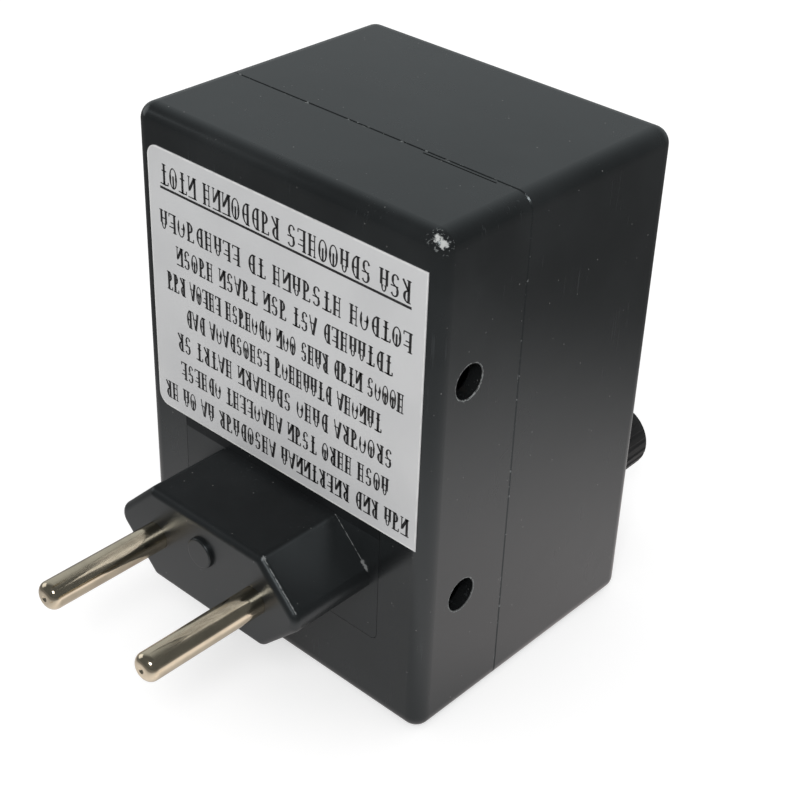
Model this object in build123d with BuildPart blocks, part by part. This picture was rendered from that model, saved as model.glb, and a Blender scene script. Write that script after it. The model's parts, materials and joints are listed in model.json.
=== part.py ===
from build123d import *
import os
from math import hypot, pi, radians, tan

# A plug-in dimmer: a black two-part case that hangs on a wall socket by two round pins.
# The rear face carries the plug, and the front face carries the outlet and the knob.
# The origin is the middle of the plug's outer face, halfway between the pins.
# +Y runs along the pins into the wall socket, +Z is up, and +X is to the right seen from the front.
# All sizes are in millimetres.

os.makedirs("parts", exist_ok=True)

OVERRUN = 1.0
RUNNING_GAP = 0.05
FIT_GAP = 0.02

# Case
CASE_WIDTH = 53.0
CASE_DEPTH = 45.0
CASE_HEIGHT = 75.0
REAR_SHELL_DEPTH = 15.9
WALL = 2.2
EDGE_RADIUS = 2.4
RIM_RADIUS = 2.3
INNER_RADIUS = 0.8
LIP_THICKNESS = 1.0
LIP_HEIGHT = 2.0
LIP_GAP = 0.1
SEAM_BREAK = 0.16

# Slot on the top seam where the case is pried open
NOTCH_LENGTH = 11.6
NOTCH_WIDTH = 0.22
NOTCH_DEPTH = 0.5
NOTCH_STEP = 0.5
NOTCH_INSET = 5.2

# Drilled vents, the same on both sides of the rear shell
VENT_DIAMETER = 5.0
UPPER_VENT_INSET = 6.2
UPPER_VENT_HEIGHT = 53.8
LOWER_VENT_INSET = 7.4
LOWER_VENT_HEIGHT = 20.4

# Snap hooks of the rear shell and their pockets in the front shell
HOOK_WIDTH = 6.0
HOOK_THICKNESS = 1.4
HOOK_ROOT = 5.0
HOOK_REACH = 6.0
HOOK_GAP = 0.15
HOOK_SPREAD = 44.0
BARB_HEIGHT = 0.6
BARB_LENGTH = 1.9
BARB_SLOPE = 1.3
POCKET_DEPTH = 0.8
POCKET_GAP = 0.3

# Plug body: six-sided boss on a plate that fills a window of the rear shell
PLUG_PROJECTION = 13.5
PLUG_HALF_WIDTH = 18.0
PLUG_HALF_FLAT = 10.5
PLUG_HALF_HEIGHT = 7.4
PLUG_CORNER = 1.3
PLUG_SIDE_CORNER = 2.2
PLUG_RIM = 1.1
PLATE_WIDTH = 37.0
PLATE_HEIGHT = 19.0
PLATE_GAP = 0.06
PLATE_CORNER = 1.0
FLANGE_BORDER = 1.2
FLANGE_THICKNESS = 1.5
MOULD_PAD_RADIUS = 2.2
MOULD_PAD_HEIGHT = 0.6
MOULD_PAD_RIM = 0.25
MOULD_PAD_X = 0.4
MOULD_PAD_Z = 2.3

# Pins
PIN_HEIGHT = 21.7
PIN_PITCH = 19.0
PIN_DIAMETER = 4.0
PIN_LENGTH = 18.6
PIN_TIP_RADIUS = 1.2
PIN_ROOT_DIAMETER = 5.0
PIN_ROOT_COVER = 0.1
PIN_COLLAR_DIAMETER = 6.0
PIN_COLLAR_LENGTH = 1.0
PIN_TAIL_DIAMETER = 3.0
PIN_TAIL_LENGTH = 5.8
PIN_DIMPLE_DIAMETER = 0.9
PIN_DIMPLE_DEPTH = 0.35

# Rating label
LABEL_SIDE_MARGIN = 2.2
LABEL_HEIGHT = 39.6
LABEL_TOP_MARGIN = 4.8
LABEL_THICKNESS = 0.12
LABEL_CORNER = 1.8
LABEL_OFFSET_X = -0.4

# Outlet
OUTLET_TOP_INSET = 21.5
OUTLET_PLAY = 0.4
OUTLET_WALL = 1.2
OUTLET_WINDOW_GAP = 0.15
OUTLET_RECESS = 10.0
OUTLET_FLOOR = 2.0
OUTLET_HOLE_DIAMETER = 4.3
OUTLET_HOLE_LEAD = 0.5
OUTLET_FLANGE_SIDE_GAP = 2.8
OUTLET_FLANGE_BORDER = 0.4
OUTLET_FLANGE_THICKNESS = 1.6
OUTLET_FLANGE_CORNER = 2.0
OUTLET_BOSS_HEIGHT = 5.0
OUTLET_BOSS_DIAMETER = 5.2
OUTLET_BOSS_GAP = 0.25
CHAMBER_WIDTH = 31.0
CHAMBER_HEIGHT = 12.4
CHAMBER_CORNER = 1.0
OUTLET_BOARD_GAP = 5.0
CHAMBER_BORE = 6.8
OUTLET_BACK_THICKNESS = 1.5
CONTACT_BORE = 4.4
CONTACT_DIAMETER = 6.0
CONTACT_FOOT_DIAMETER = 6.4
CONTACT_FOOT_THICKNESS = 0.8
CONTACT_START = 0.6
CONTACT_SLIT = 0.8
CONTACT_TAIL_WIDTH = 2.4
CONTACT_TAIL_THICKNESS = 0.8
CONTACT_TAIL_LENGTH = 2.5
CONTACT_TAIL_GAP = 0.1

# Screws: small self-tapping pan heads
SCREW_DIAMETER = 2.2
SCREW_HEAD_DIAMETER = 4.2
SCREW_HEAD_HEIGHT = 1.4
SCREW_LENGTH = 5.5
SCREW_HOLE_GAP = 0.15
SCREW_BORE_GAP = 0.05
SCREW_TIP = 0.5
DRIVE_WIDTH = 0.5
DRIVE_LENGTH = 2.4
DRIVE_DEPTH = 0.7

# Potentiometer with its switch, places counted inwards from the front shell's inner face
POT_SIDE_INSET = 12.3
POT_CENTRE_HEIGHT = 15.1
SHAFT_DIAMETER = 6.0
BUSHING_DIAMETER = 7.0
BUSHING_PROUD = 3.4
BUSHING_HOLE_GAP = 0.1
BUSHING_CHAMFER = 0.4
POT_FLANGE_DIAMETER = 15.9
POT_FLANGE_THICKNESS = 1.2
NUT_ACROSS_FLATS = 10.0
NUT_THICKNESS = 2.0
NUT_CHAMFER = 0.3
WASHER_DIAMETER = 11.0
WASHER_THICKNESS = 0.5
WAFER_DIAMETER = 15.6
WAFER_THICKNESS = 1.2
WAFER_HOLE = 10.0
WAFER_LUG_REACH = 10.5
WAFER_LUG_WIDTH = 11.6
POT_TERMINAL_SPACING = 4.0
POT_TERMINAL_WIDTH = 1.6
POT_TERMINAL_THICKNESS = 0.4
POT_TERMINAL_START = 8.6
POT_TERMINAL_END = 13.5
CAN_DIAMETER = 16.7
CAN_WALL = 0.35
CAN_LENGTH = 6.3
CAN_HOLE = 5.2
CAN_WINDOW_GAP = 0.3
CLIP_OFFSET = 0.1
CLIP_THICKNESS = 0.5
CLIP_DIAMETER = 8.8
CLIP_OPENING = 3.4
GROOVE_DIAMETER = 4.8
GROOVE_WIDTH = 0.6
SHOULDER_PLACE = 2.9
TAIL_DIAMETER = 4.0
TAIL_END = 9.4
CARRIER_DIAMETER = 12.4
CARRIER_THICKNESS = 2.0
SPRING_INNER_DIAMETER = 6.6
SPRING_OUTER_DIAMETER = 12.0
SPRING_THICKNESS = 0.3
SPRING_DIMPLE_DIAMETER = 0.8
SPRING_DIMPLE_HEIGHT = 0.15
SPRING_TRACK_RADIUS = 5.4

# Switch behind the potentiometer
SWITCH_LENGTH = 9.5
SWITCH_WALL = 1.15
SWITCH_REAR_WALL = 1.4
CAM_START = 7.0
CAM_THICKNESS = 2.4
CAM_HUB_DIAMETER = 6.4
CAM_PIN_DIAMETER = 1.2
CAM_PIN_RADIUS = 3.2
CAM_PIN_LENGTH = 2.0
CAM_FINGER_WIDTH = 2.2
CAM_ANGLE = 105.0
ROCKER_START = 10.0
ROCKER_THICKNESS = 1.4
ROCKER_HUB_DIAMETER = 2.4
ROCKER_PIVOT_RADIUS = 5.6
ROCKER_PIVOT_DIAMETER = 1.4
ROCKER_ARM_REACH = 4.6
ROCKER_ARM_DROP = 1.3
ROCKER_ARM_WIDTH = 1.5
ROCKER_NOSE_REACH = 1.5
ROCKER_NOSE_WIDTH = 1.4
PIVOT_SHOULDER_DIAMETER = 2.2
PIVOT_SHOULDER_GAP = 0.1
STUD_REACH = 4.4
STUD_RISE = 2.0
STUD_DIAMETER = 1.2
SWITCH_TAB_WIDTH = 2.6
SWITCH_TAB_THICKNESS = 0.8
SWITCH_TAB_LENGTH = 4.0

# Knob, pushed on to the flatted shaft
KNOB_DIAMETER = 11.0
KNOB_TOP_DIAMETER = 10.6
KNOB_HEIGHT = 15.0
KNOB_LIFT = 0.3
KNOB_TOP_RADIUS = 0.7
KNOB_SKIRT = 2.4
KNOB_BORE_GAP = 0.03
KNOB_BORE_DEPTH = 9.0
SHAFT_PROUD = 12.5
SHAFT_FLAT = 4.5
SHAFT_FLAT_LENGTH = 8.0
FLUTE_COUNT = 24
FLUTE_DIAMETER = 0.9
FLUTE_DEPTH = 0.35
POINTER_WIDTH = 1.0
POINTER_DEPTH = 0.4
POINTER_START = 1.2
POINTER_PLAY = 0.03
POINTER_ANGLE = 240.0

# Regulator board
BOARD_SIDE_GAP = 2.3
BOARD_TOP_GAP = 2.3
BOARD_THICKNESS = 1.6
BOARD_BOTTOM_HEIGHT = 33.5
BOARD_STANDOFF = 4.5
BOARD_CORNER = 1.0
BOARD_SCREW_INSET = 3.4
BOARD_BOSS_DIAMETER = 5.6

# Heat sink and what is bolted to it, places counted from the board's front face and lower edge
HEATSINK_WIDTH = 32.0
HEATSINK_LENGTH = 22.0
HEATSINK_BASE = 3.0
HEATSINK_RISE = 4.8
FIN_HEIGHT = 7.5
FIN_THICKNESS = 1.2
FIN_GAP_MIDDLE = 7.0
FIN_PITCH = 5.75
FINS_A_SIDE = 3
HEATSINK_SCREW_SPACING = 22.0
HEATSINK_SCREW_LENGTH = 6.0
PAD_THICKNESS = 0.3
PAD_WIDTH = 13.0
PAD_LENGTH = 18.0
PAD_INSET = 1.2
TAB_WIDTH = 10.2
TAB_THICKNESS = 1.3
TAB_LENGTH = 15.4
TAB_INSET = 0.8
TAB_HOLE_DIAMETER = 3.8
TAB_HOLE_INSET = 2.8
TRIAC_LENGTH = 9.2
TRIAC_HEIGHT = 3.3
TRIAC_CHAMFER = 0.4
TRIAC_LEAD_PITCH = 2.54
TRIAC_LEAD_WIDTH = 0.7
TRIAC_LEAD_THICKNESS = 0.6
TRIAC_LEAD_RISE = 1.3
LEAD_OVERHANG = 0.8
BOLT_DIAMETER = 3.0
BOLT_HOLE_GAP = 0.2
BOLT_HEAD_DIAMETER = 5.6
BOLT_HEAD_HEIGHT = 2.0
BOLT_TIP_PROUD = 0.8
BOLT_NUT_FLATS = 5.5
BOLT_NUT_THICKNESS = 2.4

# Small components, places counted from the board's middle and its lower edge (rise) or upper edge (drop)
LEAD_DIAMETER = 0.6
LEAD_HOLE_DIAMETER = 0.95
LEAD_BEND = 0.7
LEAD_RUN = 1.8
AXIAL_LIFT = 0.3
DIAC_DIAMETER = 1.9
DIAC_LENGTH = 4.0
DIAC_X = -13.0
DIAC_RISE = 15.6
TIMING_RESISTOR_DIAMETER = 2.3
TIMING_RESISTOR_LENGTH = 6.5
TIMING_RESISTOR_X = 0.0
TIMING_RESISTOR_RISE = 16.4
SNUBBER_RESISTOR_DIAMETER = 2.7
SNUBBER_RESISTOR_LENGTH = 8.0
SNUBBER_RESISTOR_X = 0.0
SNUBBER_RESISTOR_RISE = 22.6
SNUBBER_WIDTH = 13.0
SNUBBER_DEPTH = 6.0
SNUBBER_HEIGHT = 11.0
SNUBBER_X = -7.5
SNUBBER_DROP = 4.8
SNUBBER_PITCH = 10.0
TIMING_WIDTH = 7.5
TIMING_DEPTH = 3.0
TIMING_HEIGHT = 7.0
TIMING_X = 7.5
TIMING_DROP = 4.8
TIMING_PITCH = 5.0
COMPONENT_CORNER = 0.4

# Wires
MAINS_WIRE = 2.2
SIGNAL_WIRE = 1.3

# Faces and lines that several pieces share
REAR_Y = -PLUG_PROJECTION
REAR_INNER_Y = REAR_Y - WALL
SEAM_Y = REAR_Y - REAR_SHELL_DEPTH
FRONT_Y = REAR_Y - CASE_DEPTH
FRONT_INNER_Y = FRONT_Y + WALL
BASE_Z = -PIN_HEIGHT
TOP_Z = BASE_Z + CASE_HEIGHT
MIDDLE_Z = BASE_Z + CASE_HEIGHT / 2
SIDE_X = CASE_WIDTH / 2
INNER_WIDTH = CASE_WIDTH - 2 * WALL
INNER_HEIGHT = CASE_HEIGHT - 2 * WALL
INNER_X = INNER_WIDTH / 2
PIN_X = PIN_PITCH / 2
OUTLET_Z = TOP_Z - OUTLET_TOP_INSET
POT_Z = BASE_Z + POT_CENTRE_HEIGHT
POT_X = POT_SIDE_INSET - SIDE_X
SCREW_RADIUS = SCREW_DIAMETER / 2


def across(y):
    """The plane across the depth at y: local x is X, local y is Z, and extrusions run forward, to -Y."""
    return Plane.XZ.offset(-y)


def level(z):
    """The level plane at height z: local x is X, local y is Y, and extrusions run up."""
    return Plane.XY.offset(z)


def grown(half_width, half_flat, half_height, gap):
    """The half sizes of the six-sided outline that stands the gap outside the given one, all round."""
    slope = hypot(half_width - half_flat, half_height)
    wider = half_width + gap * slope / half_height
    flatter = half_flat + gap * (slope - half_width + half_flat) / half_height
    return wider, flatter, half_height + gap


class SixSided(BaseSketchObject):
    """A plug's outline: flat at the top and bottom, with a blunt point at each side."""

    def __init__(self, half_width, half_flat, half_height, corner, side_corner, mode=Mode.ADD):
        with BuildSketch() as outline:
            Polygon(
                (half_width, 0), (half_flat, half_height), (-half_flat, half_height),
                (-half_width, 0), (-half_flat, -half_height), (half_flat, -half_height),
                align=None,
            )
            fillet(outline.vertices().group_by(Axis.X)[0], side_corner)
            fillet(outline.vertices().group_by(Axis.X)[-1], side_corner)
            fillet(outline.vertices().group_by(Axis.Y)[0], corner)
            fillet(outline.vertices().group_by(Axis.Y)[-1], corner)
        super().__init__(obj=outline.sketch, mode=mode)


class Turned(BasePartObject):
    """A piece turned about the line along the depth through (x, z), from its (radius, y) outline."""

    def __init__(self, x, z, outline, mode=Mode.ADD):
        with BuildPart() as turning:
            with BuildSketch(level(z)):
                Polygon(*[(x + radius, y) for radius, y in outline], align=None)
            revolve(axis=Axis((x, 0, z), (0, 1, 0)))
        super().__init__(part=turning.part, mode=mode)


class PanScrew(BasePartObject):
    """A pan-head screw along the depth: its head starts at head_y and its shank runs to turn * Y."""

    def __init__(self, x, z, head_y, turn, shank, mode=Mode.ADD):
        head_end = head_y - turn * SCREW_HEAD_HEIGHT
        tip = head_y + turn * shank
        head = SCREW_HEAD_DIAMETER / 2
        with BuildPart() as screw:
            Turned(x, z, (
                (0, head_end), (head - SCREW_TIP, head_end), (head, head_end + turn * SCREW_TIP),
                (head, head_y), (SCREW_RADIUS, head_y), (SCREW_RADIUS, tip - turn * SCREW_TIP),
                (SCREW_RADIUS - SCREW_TIP, tip), (0, tip),
            ))
            with BuildSketch(across(head_end)):
                with Locations((x, z)):
                    Rectangle(DRIVE_LENGTH, DRIVE_WIDTH)
                    Rectangle(DRIVE_WIDTH, DRIVE_LENGTH)
            extrude(amount=-turn * DRIVE_DEPTH, mode=Mode.SUBTRACT)
        super().__init__(part=screw.part, mode=mode)


def corners(width, height):
    """The four corner points of a rectangle about its middle."""
    return [(side * width / 2, end * height / 2) for side in (-1, 1) for end in (-1, 1)]


# Rear shell: a shallow box, open forward, with the lip, the hooks, the board's bosses and the plug's window
BOARD_REAR_Y = REAR_INNER_Y - BOARD_STANDOFF
BOARD_FRONT_Y = BOARD_REAR_Y - BOARD_THICKNESS
BOARD_BOTTOM_Z = BASE_Z + BOARD_BOTTOM_HEIGHT
BOARD_WIDTH = INNER_WIDTH - 2 * BOARD_SIDE_GAP
BOARD_HEIGHT = TOP_Z - WALL - BOARD_TOP_GAP - BOARD_BOTTOM_Z
BOARD_MIDDLE_Z = BOARD_BOTTOM_Z + BOARD_HEIGHT / 2
BOARD_SCREWS_X = BOARD_WIDTH - 2 * BOARD_SCREW_INSET
BOARD_SCREWS_Z = BOARD_HEIGHT - 2 * BOARD_SCREW_INSET
HOOK_OUTER_X = INNER_X - HOOK_GAP
HOOK_TIP_Y = SEAM_Y - HOOK_REACH

with BuildPart() as rear_shell:
    with BuildSketch(across(REAR_Y)):
        with Locations((0, MIDDLE_Z)):
            RectangleRounded(CASE_WIDTH, CASE_HEIGHT, EDGE_RADIUS)
    extrude(amount=REAR_SHELL_DEPTH)
    fillet(rear_shell.faces().sort_by(Axis.Y)[-1].edges(), RIM_RADIUS)
    chamfer(rear_shell.faces().sort_by(Axis.Y)[0].edges(), SEAM_BREAK)
    with BuildSketch(across(REAR_INNER_Y)):
        with Locations((0, MIDDLE_Z)):
            RectangleRounded(INNER_WIDTH, INNER_HEIGHT, INNER_RADIUS)
    extrude(amount=REAR_SHELL_DEPTH, mode=Mode.SUBTRACT)
    # Lip that enters the front shell
    with BuildSketch(across(SEAM_Y)):
        with Locations((0, MIDDLE_Z)):
            RectangleRounded(
                INNER_WIDTH + 2 * LIP_THICKNESS, INNER_HEIGHT + 2 * LIP_THICKNESS, INNER_RADIUS + LIP_THICKNESS
            )
            RectangleRounded(INNER_WIDTH, INNER_HEIGHT, INNER_RADIUS, mode=Mode.SUBTRACT)
    extrude(amount=LIP_HEIGHT)
    # Window of the plug's plate
    with BuildSketch(across(REAR_Y + OVERRUN)):
        RectangleRounded(PLATE_WIDTH + 2 * PLATE_GAP, PLATE_HEIGHT + 2 * PLATE_GAP, PLATE_CORNER + PLATE_GAP)
    extrude(amount=WALL + 2 * OVERRUN, mode=Mode.SUBTRACT)
    # Bosses of the board, bored for its screws
    with BuildSketch(across(REAR_INNER_Y)):
        with Locations((0, BOARD_MIDDLE_Z)):
            with Locations(*corners(BOARD_SCREWS_X, BOARD_SCREWS_Z)):
                Circle(BOARD_BOSS_DIAMETER / 2)
    extrude(amount=BOARD_STANDOFF)
    with BuildSketch(across(BOARD_REAR_Y)):
        with Locations((0, BOARD_MIDDLE_Z)):
            with Locations(*corners(BOARD_SCREWS_X, BOARD_SCREWS_Z)):
                Circle(SCREW_RADIUS + SCREW_BORE_GAP)
    extrude(amount=-BOARD_STANDOFF, mode=Mode.SUBTRACT)
    # Vents through both sides
    with BuildSketch(Plane.YZ):
        with Locations(
            (REAR_Y - UPPER_VENT_INSET, BASE_Z + UPPER_VENT_HEIGHT),
            (REAR_Y - LOWER_VENT_INSET, BASE_Z + LOWER_VENT_HEIGHT),
        ):
            Circle(VENT_DIAMETER / 2)
    extrude(amount=SIDE_X + OVERRUN, both=True, mode=Mode.SUBTRACT)
    # Snap hooks: a root inside the wall, an arm past the seam and a barb that points outwards
    for side in (-1, 1):
        for end in (-1, 1):
            with BuildSketch(level(MIDDLE_Z + end * HOOK_SPREAD / 2 - HOOK_WIDTH / 2)):
                Polygon(
                    (side * (INNER_X + LIP_THICKNESS / 2), SEAM_Y + HOOK_ROOT),
                    (side * (INNER_X - HOOK_GAP - HOOK_THICKNESS), SEAM_Y + HOOK_ROOT - HOOK_THICKNESS),
                    (side * (INNER_X - HOOK_GAP - HOOK_THICKNESS), HOOK_TIP_Y),
                    (side * HOOK_OUTER_X, HOOK_TIP_Y),
                    (side * (HOOK_OUTER_X + BARB_HEIGHT), HOOK_TIP_Y + BARB_SLOPE),
                    (side * (HOOK_OUTER_X + BARB_HEIGHT), HOOK_TIP_Y + BARB_LENGTH),
                    (side * HOOK_OUTER_X, HOOK_TIP_Y + BARB_LENGTH),
                    (side * HOOK_OUTER_X, SEAM_Y - LIP_HEIGHT),
                    (side * (INNER_X + LIP_THICKNESS / 2), SEAM_Y - LIP_HEIGHT),
                    align=None,
                )
            extrude(amount=HOOK_WIDTH)
    # Short groove beside the top seam
    with BuildSketch(level(TOP_Z - NOTCH_DEPTH)):
        with Locations((-SIDE_X + NOTCH_INSET, SEAM_Y + NOTCH_STEP)):
            Rectangle(NOTCH_LENGTH, NOTCH_WIDTH, align=(Align.MIN, Align.MIN))
    extrude(amount=NOTCH_DEPTH + OVERRUN, mode=Mode.SUBTRACT)
rear_shell.part.label = "rear_shell"
export_step(rear_shell.part, "parts/rear_shell.step")


# Front shell: a deep box, open to the rear, with the outlet's window and bosses and the bushing's hole
RECESS = grown(PLUG_HALF_WIDTH, PLUG_HALF_FLAT, PLUG_HALF_HEIGHT, OUTLET_PLAY)
CUP = grown(*RECESS, OUTLET_WALL)
OUTLET_WINDOW = grown(*CUP, OUTLET_WINDOW_GAP)
CUP_CORNER = PLUG_CORNER + OUTLET_WALL
CUP_SIDE_CORNER = PLUG_SIDE_CORNER + OUTLET_WALL
OUTLET_BOSS_Y = FRONT_INNER_Y + OUTLET_BOSS_HEIGHT
OUTLET_BOSS_RISE = OUTLET_WINDOW[2] + OUTLET_BOSS_GAP + OUTLET_BOSS_DIAMETER / 2
OUTLET_SCREWS_Z = 2 * OUTLET_BOSS_RISE
OUTLET_FLANGE_WIDTH = INNER_WIDTH - 2 * OUTLET_FLANGE_SIDE_GAP
OUTLET_FLANGE_HEIGHT = OUTLET_SCREWS_Z + OUTLET_BOSS_DIAMETER + 2 * OUTLET_FLANGE_BORDER
OUTLET_SCREWS_X = OUTLET_FLANGE_WIDTH - OUTLET_BOSS_DIAMETER - 2 * OUTLET_FLANGE_BORDER
FRONT_SHELL_DEPTH = CASE_DEPTH - REAR_SHELL_DEPTH
POCKET_LENGTH = BARB_LENGTH + 2 * POCKET_GAP
POCKET_WIDTH = HOOK_WIDTH + 2 * POCKET_GAP

with BuildPart() as front_shell:
    with BuildSketch(across(SEAM_Y)):
        with Locations((0, MIDDLE_Z)):
            RectangleRounded(CASE_WIDTH, CASE_HEIGHT, EDGE_RADIUS)
    extrude(amount=FRONT_SHELL_DEPTH)
    fillet(front_shell.faces().sort_by(Axis.Y)[0].edges(), RIM_RADIUS)
    chamfer(front_shell.faces().sort_by(Axis.Y)[-1].edges(), SEAM_BREAK)
    with BuildSketch(across(SEAM_Y)):
        with Locations((0, MIDDLE_Z)):
            RectangleRounded(INNER_WIDTH, INNER_HEIGHT, INNER_RADIUS)
    extrude(amount=FRONT_SHELL_DEPTH - WALL, mode=Mode.SUBTRACT)
    # Step that takes the rear shell's lip
    with BuildSketch(across(SEAM_Y)):
        with Locations((0, MIDDLE_Z)):
            RectangleRounded(
                INNER_WIDTH + 2 * (LIP_THICKNESS + LIP_GAP),
                INNER_HEIGHT + 2 * (LIP_THICKNESS + LIP_GAP),
                INNER_RADIUS + LIP_THICKNESS + LIP_GAP,
            )
    extrude(amount=LIP_HEIGHT + LIP_GAP, mode=Mode.SUBTRACT)
    # Bosses of the outlet
    with BuildSketch(across(OUTLET_BOSS_Y)):
        with Locations((0, OUTLET_Z)):
            with Locations(*corners(OUTLET_SCREWS_X, OUTLET_SCREWS_Z)):
                Circle(OUTLET_BOSS_DIAMETER / 2)
    extrude(amount=OUTLET_BOSS_HEIGHT)
    with BuildSketch(across(OUTLET_BOSS_Y)):
        with Locations((0, OUTLET_Z)):
            with Locations(*corners(OUTLET_SCREWS_X, OUTLET_SCREWS_Z)):
                Circle(SCREW_RADIUS + SCREW_BORE_GAP)
    extrude(amount=OUTLET_BOSS_HEIGHT, mode=Mode.SUBTRACT)
    # Window of the outlet and hole of the bushing
    with BuildSketch(across(FRONT_INNER_Y + OVERRUN)):
        with Locations((0, OUTLET_Z)):
            SixSided(*OUTLET_WINDOW, CUP_CORNER + OUTLET_WINDOW_GAP, CUP_SIDE_CORNER + OUTLET_WINDOW_GAP)
        with Locations((POT_X, POT_Z)):
            Circle(BUSHING_DIAMETER / 2 + BUSHING_HOLE_GAP)
    extrude(amount=WALL + 2 * OVERRUN, mode=Mode.SUBTRACT)
    # Pockets that the hooks' barbs spring into
    for end in (-1, 1):
        with BuildSketch(level(MIDDLE_Z + end * HOOK_SPREAD / 2 - POCKET_WIDTH / 2)):
            with Locations((0, HOOK_TIP_Y - POCKET_GAP)):
                Rectangle(INNER_WIDTH + 2 * POCKET_DEPTH, POCKET_LENGTH, align=(Align.CENTER, Align.MIN))
                Rectangle(INNER_WIDTH, POCKET_LENGTH, align=(Align.CENTER, Align.MIN), mode=Mode.SUBTRACT)
        extrude(amount=POCKET_WIDTH, mode=Mode.SUBTRACT)
front_shell.part.label = "front_shell"
export_step(front_shell.part, "parts/front_shell.step")


# Plug body: the boss, the plate in the rear shell's window and the flange welded behind the wall
PLUG_BACK_Y = REAR_INNER_Y - FLANGE_THICKNESS

with BuildPart() as plug_body:
    with BuildSketch(across(0)):
        SixSided(PLUG_HALF_WIDTH, PLUG_HALF_FLAT, PLUG_HALF_HEIGHT, PLUG_CORNER, PLUG_SIDE_CORNER)
    extrude(amount=PLUG_PROJECTION)
    fillet(plug_body.faces().sort_by(Axis.Y)[-1].edges(), PLUG_RIM)
    with BuildSketch(across(REAR_Y)):
        RectangleRounded(PLATE_WIDTH, PLATE_HEIGHT, PLATE_CORNER)
    extrude(amount=WALL)
    with BuildSketch(across(REAR_INNER_Y)):
        RectangleRounded(
            PLATE_WIDTH + 2 * FLANGE_BORDER, PLATE_HEIGHT + 2 * FLANGE_BORDER, PLATE_CORNER + FLANGE_BORDER
        )
    extrude(amount=FLANGE_THICKNESS)
    with BuildSketch(across(OVERRUN)):
        with Locations((-PIN_X, 0), (PIN_X, 0)):
            Circle(PIN_DIAMETER / 2 + FIT_GAP)
    extrude(amount=PIN_ROOT_COVER + OVERRUN, mode=Mode.SUBTRACT)
    with BuildSketch(across(-PIN_ROOT_COVER)):
        with Locations((-PIN_X, 0), (PIN_X, 0)):
            Circle(PIN_ROOT_DIAMETER / 2 + FIT_GAP)
    extrude(amount=OVERRUN - PLUG_BACK_Y, mode=Mode.SUBTRACT)
    # Low round pad that the mould leaves between the pins
    with BuildSketch(across(MOULD_PAD_HEIGHT)):
        with Locations((MOULD_PAD_X, MOULD_PAD_Z)):
            Circle(MOULD_PAD_RADIUS)
    extrude(amount=MOULD_PAD_HEIGHT)
    fillet(plug_body.faces().sort_by(Axis.Y)[-1].edges(), MOULD_PAD_RIM)
plug_body.part.label = "plug_body"
export_step(plug_body.part, "parts/plug_body.step")


# Pins: round-nosed, thicker inside the plug body, with a collar behind it and a tail for the wire
PIN_TAIL_Y = PLUG_BACK_Y - PIN_COLLAR_LENGTH - PIN_TAIL_LENGTH
PIN_OUTLINE = (
    (0, PIN_LENGTH),
    (PIN_DIAMETER / 2, PIN_LENGTH),
    (PIN_DIAMETER / 2, -PIN_ROOT_COVER),
    (PIN_ROOT_DIAMETER / 2, -PIN_ROOT_COVER),
    (PIN_ROOT_DIAMETER / 2, PLUG_BACK_Y),
    (PIN_COLLAR_DIAMETER / 2, PLUG_BACK_Y),
    (PIN_COLLAR_DIAMETER / 2, PLUG_BACK_Y - PIN_COLLAR_LENGTH),
    (PIN_TAIL_DIAMETER / 2, PLUG_BACK_Y - PIN_COLLAR_LENGTH),
    (PIN_TAIL_DIAMETER / 2, PIN_TAIL_Y),
    (0, PIN_TAIL_Y),
)

for name, side in (("pin_left", -1), ("pin_right", 1)):
    with BuildPart() as pin:
        Turned(side * PIN_X, 0, PIN_OUTLINE)
        fillet(pin.faces().sort_by(Axis.Y)[-1].edges(), PIN_TIP_RADIUS)
        Turned(side * PIN_X, 0, (
            (0, PIN_LENGTH - PIN_DIMPLE_DEPTH), (PIN_DIMPLE_DIAMETER / 2, PIN_LENGTH), (0, PIN_LENGTH)
        ), mode=Mode.SUBTRACT)
    pin.part.label = name
    export_step(pin.part, f"parts/{name}.step")


# Rating label: thin foil, rounded at the two corners on the +X side
with BuildPart() as rating_label:
    with BuildSketch(across(REAR_Y + LABEL_THICKNESS)) as label_outline:
        with Locations((LABEL_OFFSET_X, TOP_Z - LABEL_TOP_MARGIN)):
            Rectangle(CASE_WIDTH - 2 * LABEL_SIDE_MARGIN, LABEL_HEIGHT, align=(Align.CENTER, Align.MAX))
        fillet(label_outline.vertices().group_by(Axis.X)[-1], LABEL_CORNER)
    extrude(amount=LABEL_THICKNESS)
rating_label.part.label = "rating_label"
export_step(rating_label.part, "parts/rating_label.step")


# Outlet body: a six-sided cup for a plug, a floor with two holes and the chambers of the contacts
OUTLET_FLOOR_Y = FRONT_Y + OUTLET_RECESS
CHAMBER_Y = OUTLET_FLOOR_Y + OUTLET_FLOOR
OUTLET_BACK_Y = BOARD_FRONT_Y - OUTLET_BOARD_GAP
CHAMBER_END_Y = OUTLET_BACK_Y - OUTLET_BACK_THICKNESS

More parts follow.
